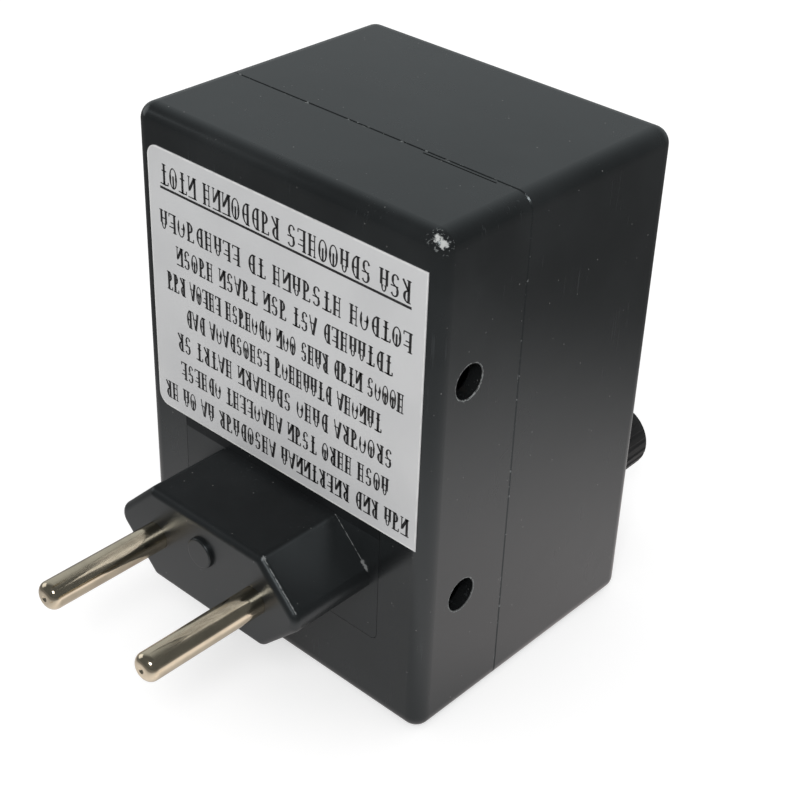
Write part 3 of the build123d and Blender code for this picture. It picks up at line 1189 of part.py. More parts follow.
def bent_lead(x, rise, length, diameter, side):
    """The path of one lead of a lying component: out along X, then back through the board."""
    z = BOARD_BOTTOM_Z + rise
    y = BOARD_FRONT_Y - AXIAL_LIFT - diameter / 2
    start = x + side * length / 2
    return [(start, y, z), (start + side * LEAD_RUN, y, z), (start + side * LEAD_RUN, LEAD_END_Y, z)]


for name, components in (("diac_leads", (DIAC,)), ("resistor_leads", (TIMING_RESISTOR, SNUBBER_RESISTOR))):
    with BuildPart() as leads:
        for component_sizes in components:
            for side in (-1, 1):
                with BuildLine() as bend:
                    FilletPolyline(*bent_lead(*component_sizes, side), radius=LEAD_BEND)
                with BuildSketch(Plane(origin=bend.line @ 0, z_dir=bend.line % 0)):
                    Circle(LEAD_DIAMETER / 2)
                sweep(path=bend.line)
    leads.part.label = name
    export_step(leads.part, f"parts/{name}.step")

for name, x, rise, width, depth, height in (
    ("snubber_capacitor", SNUBBER_X, SNUBBER_RISE, SNUBBER_WIDTH, SNUBBER_DEPTH, SNUBBER_HEIGHT),
    ("timing_capacitor", TIMING_X, TIMING_RISE, TIMING_WIDTH, TIMING_DEPTH, TIMING_HEIGHT),
):
    with BuildPart() as capacitor:
        with BuildSketch(across(BOARD_FRONT_Y)):
            with Locations((x, BOARD_BOTTOM_Z + rise)):
                Rectangle(width, depth)
        extrude(amount=height)
        fillet(capacitor.edges().filter_by(Axis.Y), COMPONENT_CORNER)
        fillet(capacitor.faces().sort_by(Axis.Y)[0].edges(), COMPONENT_CORNER)
    capacitor.part.label = name
    export_step(capacitor.part, f"parts/{name}.step")

with BuildPart() as capacitor_leads:
    with BuildSketch(across(LEAD_END_Y)):
        with Locations(*CAPACITOR_LEADS):
            Circle(LEAD_DIAMETER / 2)
    extrude(amount=LEAD_END_Y - BOARD_FRONT_Y)
capacitor_leads.part.label = "capacitor_leads"
export_step(capacitor_leads.part, "parts/capacitor_leads.step")


# Wires: each route is a list of points, joined by runs and by arcs as large as the runs allow
WIRE_SHARE = 0.45


def arc_radii(points):
    """The radius at each inner point: the wire share of the shorter run, over the tangent of half the turn."""
    radii = []
    for before, here, after in zip(points, points[1:], points[2:]):
        first = Vector(here) - Vector(before)
        second = Vector(after) - Vector(here)
        half_turn = radians(first.get_angle(second)) / 2
        radii.append(WIRE_SHARE * min(first.length, second.length) / tan(half_turn))
    return radii


WIRES = {
    "wire_live": (MAINS_WIRE, (
        (-9.5, -24.0, 0), (-9.5, -27.6, 0), (-11.4, -30.2, -0.2), (-14.2, -32.9, -1.0), (-14.2, -36.5, -1.0),
    )),
    "wire_switched": (MAINS_WIRE, (
        (-18.6, -36.5, -4.6), (-18.6, -32.4, -4.6), (-19.6, -29.6, -1.4), (-20.4, -28.6, 5.0),
        (-20.7, -28.8, 13.0), (-20.5, -27.8, 20.2), (-20.3, -24.8, 24.0), (-20.3, -21.8, 24.0),
    )),
    "wire_neutral": (MAINS_WIRE, (
        (9.5, -24.0, 0), (9.5, -27.6, 0), (12.6, -30.2, 1.6), (18.0, -30.6, 5.2), (20.9, -29.0, 12.0),
        (21.2, -27.0, 20.2), (19.9, -26.0, 27.4), (16.2, -25.6, 31.8), (10.7, -25.6, 31.8),
    )),
    "wire_load": (MAINS_WIRE, (
        (-20.3, -21.8, 38.1), (-20.3, -24.6, 38.1), (-20.0, -26.4, 36.2), (-18.6, -26.0, 33.2),
        (-15.8, -25.6, 31.8), (-10.7, -25.6, 31.8),
    )),
    "wire_pot_a": (SIGNAL_WIRE, (
        (-0.7, -53.7, -2.6), (4.6, -53.7, -2.6), (11.0, -50.6, -0.2), (16.2, -44.6, 4.4),
        (18.4, -37.4, 10.6), (18.4, -32.0, 16.2), (16.8, -26.0, 22.6), (16.8, -21.8, 22.6),
    )),
    "wire_pot_b": (SIGNAL_WIRE, (
        (-0.7, -53.7, -10.6), (5.2, -53.7, -10.6), (13.2, -50.8, -7.8), (19.2, -44.8, -1.4),
        (20.8, -38.4, 6.8), (20.4, -33.0, 15.0), (18.6, -28.4, 22.6), (16.8, -25.6, 26.8),
        (16.8, -21.8, 26.8),
    )),
}

for name, (diameter, points) in WIRES.items():
    radii = arc_radii(points)
    with BuildPart() as wire:
        with BuildLine() as route:
            FilletPolyline(*points, radius=radii)
        with BuildSketch(Plane(origin=route.line @ 0, z_dir=route.line % 0)):
            Circle(diameter / 2)
        sweep(path=route.line)
    wire.part.label = name
    export_step(wire.part, f"parts/{name}.step")
    length = sum(edge.length for edge in route.edges())
    share = wire.part.volume / (length * pi * diameter ** 2 / 4)
    print(name, "radii", [round(r, 1) for r in radii], "length", round(length, 1), "volume share", round(share, 4))
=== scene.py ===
# %% [markdown]
# # Dressing a plug-in dimmer
#
# The dimmer is a black moulded box that hangs on a wall socket by two round pins. A power outlet and a
# knob are on the side that faces the room. The CAD step made every piece at its real size, and this
# lesson gives the pieces their looks: a camera, a plain studio, a finish for each material, and the thin
# print that is too fine for CAD. Nothing from the CAD model is moved or resized, so a print or a scuff
# only has to ask the frame where its surface is.

import json
import math
import random

import bmesh
import bpy
from mathutils import Matrix, Quaternion, Vector


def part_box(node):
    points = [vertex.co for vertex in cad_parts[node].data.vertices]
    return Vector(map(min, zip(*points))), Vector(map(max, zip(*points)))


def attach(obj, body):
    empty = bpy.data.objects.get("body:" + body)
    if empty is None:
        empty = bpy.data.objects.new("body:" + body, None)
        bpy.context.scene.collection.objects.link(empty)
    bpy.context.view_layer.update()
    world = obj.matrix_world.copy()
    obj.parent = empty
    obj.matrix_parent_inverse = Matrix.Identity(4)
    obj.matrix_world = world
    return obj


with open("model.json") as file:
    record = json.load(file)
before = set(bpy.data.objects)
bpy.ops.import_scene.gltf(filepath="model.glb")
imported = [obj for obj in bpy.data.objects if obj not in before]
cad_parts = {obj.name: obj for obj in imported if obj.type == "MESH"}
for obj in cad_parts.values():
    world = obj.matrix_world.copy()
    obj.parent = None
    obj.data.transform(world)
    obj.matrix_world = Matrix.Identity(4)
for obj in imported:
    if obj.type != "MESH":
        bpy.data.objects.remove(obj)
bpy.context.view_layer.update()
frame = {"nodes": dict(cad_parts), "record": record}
MM = 0.001

# %% [markdown]
# ## The places that the looks hang on
#
# The script asks the frame for the boxes of a few nodes and names the planes that it will print on. If
# the CAD model changes, the print and the scuffs follow it.

# %% Planes and corners
rear_low, rear_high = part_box("rear_shell")
front_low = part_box("front_shell")[0]
label_low, label_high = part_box("rating_label")
knob_low, knob_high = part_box("knob")

CASE_TOP = rear_high.z
CASE_BASE = rear_low.z
CASE_SIDE = rear_low.x
REAR_FACE = rear_high.y
FRONT_FACE = front_low.y
LABEL_FACE = label_high.y
REAR_SHELL_DEPTH = 15.9 * MM
SEAM = REAR_FACE - REAR_SHELL_DEPTH
case_middle = (front_low + rear_high) / 2
VENT_RADIUS = 2.5 * MM
UPPER_VENT = Vector((0, -19.7 * MM, CASE_BASE + 53.8 * MM))
LOWER_VENT = Vector((0, -20.9 * MM, CASE_BASE + 20.4 * MM))
print("case in mm", [round(v / MM, 1) for v in rear_high - front_low])

# %% [markdown]
# ## The camera
#
# The photograph looks down at the rear of the dimmer from its left, with a fairly long lens. The place,
# the aim and the focal length were worked out from the box's seven visible corners and its printed size.
# The photographer held the camera a little crooked, so the last turn is a roll of about two degrees.

# %% Camera
CAMERA_PLACE = Vector((-0.13023, 0.11000, 0.13696))
CAMERA_AIM = Vector((-0.00248, -0.03454, 0.01158))
CAMERA_ROLL = math.radians(2.29)
FOCAL_LENGTH = 74.22
SENSOR_WIDTH = 36
NEAREST_SEEN = 0.01

camera_data = bpy.data.cameras.new("photo_camera")
camera_data.lens = FOCAL_LENGTH
camera_data.sensor_width = SENSOR_WIDTH
camera_data.clip_start = NEAREST_SEEN
camera = bpy.data.objects.new("photo_camera", camera_data)
camera.location = CAMERA_PLACE
camera.rotation_mode = "QUATERNION"
camera.rotation_quaternion = (
    (CAMERA_AIM - CAMERA_PLACE).to_track_quat("-Z", "Y") @ Quaternion((0, 0, 1), CAMERA_ROLL)
)
bpy.context.scene.collection.objects.link(camera)
bpy.context.scene.camera = camera
print("camera right", [round(v, 4) for v in camera.rotation_quaternion @ Vector((1, 0, 0))])

# %% [markdown]
# ## Node shorthand
#
# Blender's materials are small networks, and typing each node out hides the idea of a finish. The class
# below wraps one Principled shader. Its calls read like a maker's notes: take a noise of this grain size,
# tint where it is high, roughen there, and press this much relief into the surface. Sizes are real
# lengths, because a node's Object coordinates are metres in the shared frame.

# %% A finish and its notes
class Finish:
    """One procedural material, built up by tints, roughness changes and relief."""

    def __init__(self, name, color, roughness, metallic=0.0, ior=1.5):
        self.material = bpy.data.materials.new(name)
        self.material.use_nodes = True
        self.nodes = self.material.node_tree.nodes
        self.links = self.material.node_tree.links
        self.shader = self.nodes["Principled BSDF"]
        self.shader.inputs["Base Color"].default_value = (*color, 1)
        self.shader.inputs["Roughness"].default_value = roughness
        self.shader.inputs["Metallic"].default_value = metallic
        self.shader.inputs["IOR"].default_value = ior
        self.place = self.nodes.new("ShaderNodeTexCoord").outputs["Object"]

    def feed(self, socket, value):
        """Links a socket to an output, or sets it to a number or a colour."""
        if isinstance(value, bpy.types.NodeSocket):
            self.links.new(value, socket)
        else:
            socket.default_value = value

    def stretched(self, x, y, z):
        """The place with its axes scaled, which makes a noise long where the number is small."""
        mapping = self.nodes.new("ShaderNodeMapping")
        self.feed(mapping.inputs["Vector"], self.place)
        mapping.inputs["Scale"].default_value = (x, y, z)
        return mapping.outputs["Vector"]

    def noise(self, size, detail=2, place=None, lumpiness=0.5):
        """A cloud whose lumps are about size metres across."""
        node = self.nodes.new("ShaderNodeTexNoise")
        self.feed(node.inputs["Vector"], place or self.place)
        node.inputs["Scale"].default_value = 1 / size
        node.inputs["Detail"].default_value = detail
        node.inputs["Roughness"].default_value = lumpiness
        return node.outputs["Fac"]

    def cells(self, size, place=None):
        """The distance to the nearest of the points scattered about size metres apart."""
        node = self.nodes.new("ShaderNodeTexVoronoi")
        self.feed(node.inputs["Vector"], place or self.place)
        node.inputs["Scale"].default_value = 1 / size
        return node.outputs["Distance"]

    def span(self, value, low, high, at_low=0.0, at_high=1.0):
        """A soft step: at_low below low, at_high above high."""
        node = self.nodes.new("ShaderNodeMapRange")
        node.interpolation_type = "SMOOTHSTEP"
        self.feed(node.inputs["Value"], value)
        for name, number in zip(("From Min", "From Max", "To Min", "To Max"), (low, high, at_low, at_high)):
            node.inputs[name].default_value = number
        return node.outputs["Result"]

    def math(self, operation, first, second=0.0):
        """A sum on one or two numbers."""
        node = self.nodes.new("ShaderNodeMath")
        node.operation = operation
        self.feed(node.inputs[0], first)
        self.feed(node.inputs[1], second)
        return node.outputs["Value"]

    def vector_math(self, operation, output, first, second):
        """A sum on vectors. A SCALE takes a number as its second value, and the others take a vector."""
        node = self.nodes.new("ShaderNodeVectorMath")
        node.operation = operation
        self.feed(node.inputs[0], first)
        self.feed(node.inputs["Scale" if operation == "SCALE" else 1], second)
        return node.outputs[output]

    def axis(self, name):
        """One coordinate of the place."""
        node = self.nodes.new("ShaderNodeSeparateXYZ")
        self.feed(node.inputs["Vector"], self.place)
        return node.outputs[name]

    def away_from(self, point):
        """The distance from a point of the frame, in metres."""
        return self.vector_math("DISTANCE", "Value", self.place, point)

    def away_from_line(self, start, end):
        """The distance from the line between two points of the frame, in metres."""
        along = end - start
        offset = self.vector_math("SUBTRACT", "Vector", self.place, start)
        reach = self.vector_math("DOT_PRODUCT", "Value", offset, along)
        share = self.math("DIVIDE", reach, along.length_squared)
        share = self.math("MINIMUM", self.math("MAXIMUM", share, 0.0), 1.0)
        nearest = self.vector_math("SCALE", "Vector", along, share)
        return self.vector_math("DISTANCE", "Value", offset, nearest)

    def tint(self, mask, color, name="Base Color"):
        """Mixes the base colour, or another colour, towards a new one where the mask is high."""
        self._mix("RGBA", (6, 7, 2), name, mask, (*color, 1))

    def roughen(self, mask, roughness):
        """Mixes the roughness towards another where the mask is high."""
        self._mix("FLOAT", (2, 3, 0), "Roughness", mask, roughness)

    def _mix(self, kind, places, name, mask, value):
        """Puts a Mix node before a socket. The places are its socket numbers for this kind of value."""
        first, second, result = places
        target = self.shader.inputs[name]
        node = self.nodes.new("ShaderNodeMix")
        node.data_type = kind
        before = target.links[0].from_socket if target.is_linked else target.default_value
        self.feed(node.inputs[first], before)
        node.inputs[second].default_value = value
        self.feed(node.inputs[0], mask)
        self.feed(target, node.outputs[result])

    def relief(self, height, depth):
        """Presses a pattern depth metres deep, on top of the relief that is there."""
        target = self.shader.inputs["Normal"]
        node = self.nodes.new("ShaderNodeBump")
        node.inputs["Distance"].default_value = depth
        self.feed(node.inputs["Height"], height)
        if target.is_linked:
            self.feed(node.inputs["Normal"], target.links[0].from_socket)
        self.feed(target, node.outputs["Normal"])


# %% [markdown]
# ## The studio
#
# The photograph is cut out on pure white, and the satin black plastic shows what stands around it more
# than its own colour. So the studio is designed as reflections. Behind the object the surroundings are
# bright, which lights the top face, and behind the photographer they are dim, which darkens the rounded
# edges. What the plastic mirrors of the sky is a little cool, as in the photograph. Only the camera sees
# the world as pure white.

# %% World
world = bpy.data.worlds.new("soft_studio")
world.use_nodes = True
bpy.context.scene.world = world
sky = world.node_tree.nodes
sky_links = world.node_tree.links

SKY_DIFFUSE = 0.75
SKY_BRIGHT_SIDE = 0.47
SKY_DIM_SIDE = 0.10
TO_BRIGHT_SIDE = (0.6, -0.8, 0.0)
TURN_START = 0.1
TURN_END = 0.85
MIRRORED_SKY = (0.93, 0.985, 1.0)
WHITE = (1, 1, 1, 1)


def blend_of(nodes, links, factor, first, second):
    """A float mix: first where the factor is 0, second where it is 1."""
    node = nodes.new("ShaderNodeMix")
    node.data_type = "FLOAT"
    for socket, value in ((node.inputs[0], factor), (node.inputs[2], first), (node.inputs[3], second)):
        if isinstance(value, bpy.types.NodeSocket):
            links.new(value, socket)
        else:
            socket.default_value = value
    return node.outputs[0]


def kinds_of_ray(nodes, links):
    """Two outputs: 1 for a ray from the camera, and 1 for a ray that left a glossy or a clear surface."""
    path = nodes.new("ShaderNodeLightPath")
    either = nodes.new("ShaderNodeMath")
    either.operation = "MAXIMUM"
    links.new(path.outputs["Is Glossy Ray"], either.inputs[0])
    links.new(path.outputs["Is Transmission Ray"], either.inputs[1])
    return path.outputs["Is Camera Ray"], either.outputs["Value"]


is_camera, is_mirrored = kinds_of_ray(sky, sky_links)
direction = sky.new("ShaderNodeTexCoord")
towards = sky.new("ShaderNodeVectorMath")
towards.operation = "DOT_PRODUCT"
sky_links.new(direction.outputs["Generated"], towards.inputs[0])
towards.inputs[1].default_value = TO_BRIGHT_SIDE
backdrop = sky.new("ShaderNodeMapRange")
backdrop.interpolation_type = "SMOOTHSTEP"
sky_links.new(towards.outputs["Value"], backdrop.inputs["Value"])
backdrop.inputs["From Min"].default_value = TURN_START
backdrop.inputs["From Max"].default_value = TURN_END
backdrop.inputs["To Min"].default_value = SKY_DIM_SIDE
backdrop.inputs["To Max"].default_value = SKY_BRIGHT_SIDE
unseen = blend_of(sky, sky_links, is_mirrored, SKY_DIFFUSE, backdrop.outputs["Result"])
sky_links.new(blend_of(sky, sky_links, is_camera, unseen, 1.0), sky["Background"].inputs["Strength"])
cool = sky.new("ShaderNodeMix")
cool.data_type = "RGBA"
sky_links.new(is_mirrored, cool.inputs[0])
cool.inputs[6].default_value = WHITE
cool.inputs[7].default_value = (*MIRRORED_SKY, 1)
sky_links.new(cool.outputs[2], sky["Background"].inputs["Color"])
print("world", world.name, len(sky), "nodes")

# %% [markdown]
# ## The floor
#
# The floor is one large sheet under the object. To the camera it is white, partly by its own faint glow,
# so that it joins the white world without a line, and the object's shadow still shows on it. In
# reflections it is a slightly warm pool of light: brightest round the case, dimmer far away and dimmer
# again right under the case. That gives the long side its shade from pale at the foot to dark at the top.

# %% Floor
FLOOR_HALF = 1.5
FLOOR_CORNERS = ((-1, -1), (1, -1), (1, 1), (-1, 1))
FLOOR_ALBEDO = 0.6
FLOOR_ROUGHNESS = 0.9
FLOOR_GLOW = 0.56
MIRRORED_GLOW = 0.48
POOL_CENTRE = Vector((-0.024, -0.024, CASE_BASE))
POOL_INNER = 0.028
POOL_OUTER = 0.126
POOL_DIM = 0.15
SHADE_CENTRE = Vector((-0.005, -0.010, CASE_BASE))
SHADE_INNER = 0.015
SHADE_OUTER = 0.040
SHADE_DIM = 0.55
WARM_GLOW = (1.0, 0.875, 0.85)

floor_mesh = bpy.data.meshes.new("floor")
floor_mesh.from_pydata(
    [(x * FLOOR_HALF, y * FLOOR_HALF, CASE_BASE) for x, y in FLOOR_CORNERS],
    [], [(0, 1, 2, 3)],
)
floor = bpy.data.objects.new("floor", floor_mesh)
bpy.context.scene.collection.objects.link(floor)

floor_paint = Finish("floor_white", (FLOOR_ALBEDO,) * 3, FLOOR_ROUGHNESS)
camera_ray, mirror_ray = kinds_of_ray(floor_paint.nodes, floor_paint.links)
pool = floor_paint.span(floor_paint.away_from(POOL_CENTRE), POOL_INNER, POOL_OUTER, 1.0, POOL_DIM)
shade = floor_paint.span(floor_paint.away_from(SHADE_CENTRE), SHADE_INNER, SHADE_OUTER, SHADE_DIM, 1.0)
pool = floor_paint.math("MULTIPLY", pool, shade)
reach = blend_of(floor_paint.nodes, floor_paint.links, mirror_ray, 1.0, pool)
floor_paint.tint(floor_paint.math("SUBTRACT", 1.0, reach), (0, 0, 0))
floor_paint.shader.inputs["Specular IOR Level"].default_value = 0.0
floor_paint.shader.inputs["Emission Color"].default_value = WHITE
mirrored_pool = floor_paint.math("MULTIPLY", mirror_ray, pool)
floor_paint.tint(mirrored_pool, WARM_GLOW, "Emission Color")
to_mirrors = floor_paint.math("MULTIPLY", mirrored_pool, MIRRORED_GLOW)
glow = floor_paint.math("ADD", floor_paint.math("MULTIPLY", camera_ray, FLOOR_GLOW), to_mirrors)
floor_paint.feed(floor_paint.shader.inputs["Emission Strength"], glow)
floor.data.materials.append(floor_paint.material)
print("floor at", round(CASE_BASE / MM, 1), "mm")

# %% [markdown]
# ## The lamps
#
# One small soft box hangs above the camera. It puts the bright spots on the tips of the pins, and it gives
# the pins and the plug a gentle shadow. A second, wider and weaker one fills from the other side so that no
# view is flat. Point lamps would be simpler, but a smooth metal shows a lamp's shape, so these are squares.

# %% Lamps
def soft_box(name, direction, distance, size, radiance):
    """A square area lamp that points at the case, with its power worked out from its brightness."""
    data = bpy.data.lights.new(name, "AREA")
    data.shape = "SQUARE"
    data.size = size
    data.energy = math.pi * size ** 2 * radiance
    lamp = bpy.data.objects.new(name, data)
    away = Vector(direction).normalized()
    lamp.location = case_middle + away * distance
    lamp.rotation_mode = "QUATERNION"
    lamp.rotation_quaternion = away.to_track_quat("Z", "Y")
    bpy.context.scene.collection.objects.link(lamp)
    print(name, "power", round(data.energy, 2), "W")


soft_box("key_soft_box", direction=(-0.45, 0.60, 0.66), distance=0.50, size=0.12, radiance=16)
soft_box("fill_soft_box", direction=(0.90, 0.30, 0.30), distance=0.70, size=0.40, radiance=0.8)
bpy.context.scene.view_settings.view_transform = "Standard"

# %% [markdown]
# ## Black moulded plastic
#
# The case is injection-moulded in black, with a satin skin. It isn't even: the skin has a fine grain, very
# shallow sink waves, hair-fine rub marks from handling and a few pale specks of dust. All of this is noise
# at real sizes on one shader, so every black piece can share the recipe.

# %% Satin plastic
CASE_BLACK = (0.0105, 0.0115, 0.0120)
PLUG_BLACK = (0.0105, 0.0115, 0.0122)
OUTLET_BLACK = (0.0110, 0.0115, 0.0120)
COOL_GLOSS = (0.88, 0.97, 1.0)
DUST_GREY = (0.30, 0.30, 0.29)
PLASTIC_IOR = 1.57
CLOUD_SIZE = 16 * MM
CLOUD_PALER = 1.5
RUB_SIZE = 0.5 * MM
RUB_STRETCH = (1, 1, 0.045)
RUB_PALER = 2.6
HANDLED_SIZE = 9 * MM
SPECK_SPACING = 1.5 * MM
DUSTY_SIZE = 2.4 * MM
GRAIN_SIZE = 0.16 * MM
SINK_SIZE = 7 * MM
SINK_DEPTH = 22e-6


def satin_plastic(name, color, roughness, dust=0.5, grain=5e-6):
    """Black plastic with a cloudy gloss, upright rub marks, specks of dust and a shallow grain."""
    finish = Finish(name, color, roughness, ior=PLASTIC_IOR)
    finish.shader.inputs["Specular Tint"].default_value = (*COOL_GLOSS, 1)

    cloud = finish.noise(CLOUD_SIZE, 3)
    finish.tint(finish.span(cloud, 0.4, 0.7), [CLOUD_PALER * c for c in color])
    finish.roughen(finish.span(cloud, 0.35, 0.75), roughness + 0.08)

    rubs = finish.noise(RUB_SIZE, 3, finish.stretched(*RUB_STRETCH))
    handled = finish.span(finish.noise(HANDLED_SIZE), 0.5, 0.68)
    rub_mask = finish.math("MULTIPLY", finish.span(rubs, 0.60, 0.74), handled)
    finish.tint(rub_mask, [RUB_PALER * c for c in color])
    finish.roughen(rub_mask, roughness + 0.2)

    specks = finish.span(finish.cells(SPECK_SPACING), 0.035, 0.085, 1.0, 0.0)
    dusty = finish.span(finish.noise(DUSTY_SIZE), 0.47, 0.60)
    finish.tint(finish.math("MULTIPLY", finish.math("MULTIPLY", specks, dusty), dust), DUST_GREY)

    finish.relief(finish.noise(GRAIN_SIZE, 2), grain)
    finish.relief(finish.noise(SINK_SIZE, 1), SINK_DEPTH)
    return finish


case_finish = satin_plastic("case_black_satin", CASE_BLACK, 0.20)
print(case_finish.material.name, len(case_finish.nodes), "nodes")

# %% [markdown]
# ## The bruised corner
#
# A knock has bruised the corner nearest the camera, and bruised plastic turns white and rough. The white
# there
# is also a painted highlight: it stands in part for the key lamp's glint on the rounded corner. The helper
# whitens a finish near any place whose distance it is given, and noise breaks up the border. At the corner
# the place is two short lines that meet there, and paler chips lie round it. A dent in the mesh would do
# too, but a mark this shallow is only a change of colour and gloss, and the corner keeps its CAD shape.

# %% Bruised corner and painted glint
BRUISED_ROUGHNESS = 0.75
SOFT_BORDER = 1.35
# Painted highlight: this white stands partly for a bruise and partly for the key lamp's glint on the corner.
BRUISE_AND_GLINT_WHITE = (0.50, 0.51, 0.50)
CHIP_GREY = (0.17, 0.18, 0.18)
CORNER_INSET = 0.7 * MM
BRUISE_AND_GLINT_CORNER = Vector((CASE_SIDE, REAR_FACE, CASE_TOP)) + Vector((1.0, -1.0, -1.0)) * CORNER_INSET
ALONG_THE_TOP = Vector((0.8, 0, 0.1)) * MM
DOWN_THE_SIDE = Vector((0, -0.3, -0.5)) * MM


def whiten(finish, distance, width, raggedness, grain, color):
    """Turns the plastic pale and rough within about width of a place, with a ragged border."""
    ragged = finish.math("ADD", distance, finish.math("MULTIPLY", finish.noise(grain, 3), raggedness))
    mask = finish.span(ragged, width, SOFT_BORDER * width, 1.0, 0.0)
    finish.tint(mask, color)
    finish.roughen(mask, BRUISED_ROUGHNESS)


# The whitened corner is partly a bruise and partly a painted highlight of the lamp's glint.
bruise_and_glint = case_finish.math(
    "MINIMUM",
    case_finish.away_from_line(BRUISE_AND_GLINT_CORNER, BRUISE_AND_GLINT_CORNER + ALONG_THE_TOP),
    case_finish.away_from_line(BRUISE_AND_GLINT_CORNER, BRUISE_AND_GLINT_CORNER + DOWN_THE_SIDE),
)
whiten(case_finish, bruise_and_glint, 0.84 * MM, 1.05 * MM, 0.40 * MM, BRUISE_AND_GLINT_WHITE)
near_bruise_and_glint = case_finish.span(bruise_and_glint, 0.8 * MM, 1.8 * MM, 1.0, 0.0)
chips = case_finish.span(case_finish.noise(0.34 * MM, 2), 0.58, 0.68)
case_finish.tint(case_finish.math("MULTIPLY", near_bruise_and_glint, chips), CHIP_GREY)
print("bruised corner in mm", [round(v / MM, 1) for v in BRUISE_AND_GLINT_CORNER])

# %% [markdown]
# ## Torn skin and crumbs
#
# The vents are drilled, and the drill tears the skin round each mouth. The torn place is the distance from
# a circle, and a large distance is added inside the hole, so that its wall stays black. Where the two
# shells meet, pale flecks are painted here and there along the seam.

# %% Torn skin and seam flecks
TORN_GREY = (0.25, 0.26, 0.26)
# Pale grey for the flecks painted along the seam.
SEAM_FLECK_GREY = (0.17, 0.18, 0.18)
TORN_DEEPEST = 0.30 * MM
TORN_WHOLE = 0.06 * MM
OUT_OF_REACH = 1.0 * MM

torn = None
for side in (-1, 1):
    for centre in (UPPER_VENT, LOWER_VENT):
        mouth = Vector((side * abs(CASE_SIDE), centre.y, centre.z))
        ring = case_finish.math("SUBTRACT", case_finish.away_from(mouth), VENT_RADIUS)
        ring = case_finish.math("ABSOLUTE", ring)
        torn = ring if torn is None else case_finish.math("MINIMUM", torn, ring)
outwards = case_finish.math("ABSOLUTE", case_finish.axis("X"))
inside = case_finish.span(
    outwards, abs(CASE_SIDE) - TORN_DEEPEST, abs(CASE_SIDE) - TORN_WHOLE, OUT_OF_REACH, 0.0
)
torn = case_finish.math("ADD", torn, inside)
whiten(case_finish, torn, 0.23 * MM, 0.42 * MM, 0.35 * MM, TORN_GREY)

# Pale flecks painted here and there along the seam line.
from_seam = case_finish.math("ABSOLUTE", case_finish.math("SUBTRACT", case_finish.axis("Y"), SEAM))
at_seam = case_finish.span(from_seam, 0.14 * MM, 0.30 * MM, 1.0, 0.0)
seam_flecks = case_finish.span(case_finish.noise(0.8 * MM, 3), 0.60, 0.68)
case_finish.tint(case_finish.math("MULTIPLY", at_seam, seam_flecks), SEAM_FLECK_GREY)
print(case_finish.material.name, len(case_finish.nodes), "nodes")

# %% [markdown]
# ## The plug's own wear
#
# The plug is the same plastic, duller from plugging in and out. Its top is duller still, so that the pale
# label above it hardly mirrors there. One sloping side has pale edges that are partly wear and partly
# painted
# highlight: a line at the rim of its face, a line where it meets the plate, and a brighter spot on each.

# %% Plug finish
# Painted highlight and wear: these pale greys paint the highlights along one sloping side's edges, over real
# wear.
EDGE_WEAR_AND_HIGHLIGHT_GREY = (0.17, 0.175, 0.175)
RIM_SPOT_HIGHLIGHT_GREY = (0.18, 0.185, 0.185)
PLATE_SPOT_HIGHLIGHT_GREY = (0.20, 0.205, 0.205)
TOP_ROUGHNESS = 0.5
SPECULAR_USUAL = 0.5
SPECULAR_TOP = 0.12
TOP_FROM = 7.1 * MM
TOP_TO = 7.35 * MM
SLOPE_TOP = Vector((-10.7, 0, 7.2)) * MM
SLOPE_FOOT = Vector((-16.5, 0, 1.5)) * MM
FACE_RIM = Vector((0, -0.7 * MM, 0))
PLATE_EDGE = Vector((0, REAR_FACE, 0))
SPOT_SHARE = 0.14

plug_finish = satin_plastic("plug_black_satin", PLUG_BLACK, 0.32)
plug_height = plug_finish.axis("Z")
plug_finish.roughen(plug_finish.span(plug_height, TOP_FROM, TOP_TO), TOP_ROUGHNESS)
plug_finish.feed(
    plug_finish.shader.inputs["Specular IOR Level"],
    plug_finish.span(plug_height, TOP_FROM, TOP_TO, SPECULAR_USUAL, SPECULAR_TOP),
)
# Pale lines on the sloping side's edges: partly wear, partly painted highlight.
for place, width, raggedness in ((FACE_RIM, 0.17 * MM, 0.22 * MM), (PLATE_EDGE, 0.17 * MM, 0.30 * MM)):
    edge_wear_and_highlight = plug_finish.away_from_line(SLOPE_TOP + place, SLOPE_FOOT + place)
    whiten(plug_finish, edge_wear_and_highlight, width, raggedness, 0.45 * MM, EDGE_WEAR_AND_HIGHLIGHT_GREY)
rim_highlight_spot = plug_finish.away_from(SLOPE_TOP + FACE_RIM)
whiten(plug_finish, rim_highlight_spot, 0.50 * MM, 0.6 * MM, 0.25 * MM, RIM_SPOT_HIGHLIGHT_GREY)
spot_start = SLOPE_FOOT.lerp(SLOPE_TOP, SPOT_SHARE)
plate_highlight_spot = plug_finish.away_from_line(spot_start + PLATE_EDGE, SLOPE_FOOT + PLATE_EDGE)
whiten(plug_finish, plate_highlight_spot, 0.62 * MM, 0.95 * MM, 0.4 * MM, PLATE_SPOT_HIGHLIGHT_GREY)
print(plug_finish.material.name, len(plug_finish.nodes), "nodes")

# %% [markdown]
# ## The other plastics
#
# The outlet is the same plastic as the case, with less dust. The knob is matt, so that fingers grip it, and
# its pointer is a strip of white plastic that yellows a little in its grain. The pieces inside are phenolic,
# nylon and epoxy, which are matt too, so one recipe serves them all with other colours.

# %% Outlet, knob and inner mouldings
def matt_plastic(name, color, roughness, spread=0.25, grain=12e-6):
    """A dull plastic, clouded by up to the spread, with a deeper grain."""
    finish = Finish(name, color, roughness)
    cloud = finish.noise(3 * MM, 3)
    finish.tint(finish.span(cloud, 0.35, 0.7), [c * (1 + spread) for c in color])
    finish.roughen(finish.span(cloud, 0.3, 0.7), min(1.0, roughness + 0.12))
    finish.relief(finish.noise(0.22 * MM, 2), grain)
    return finish


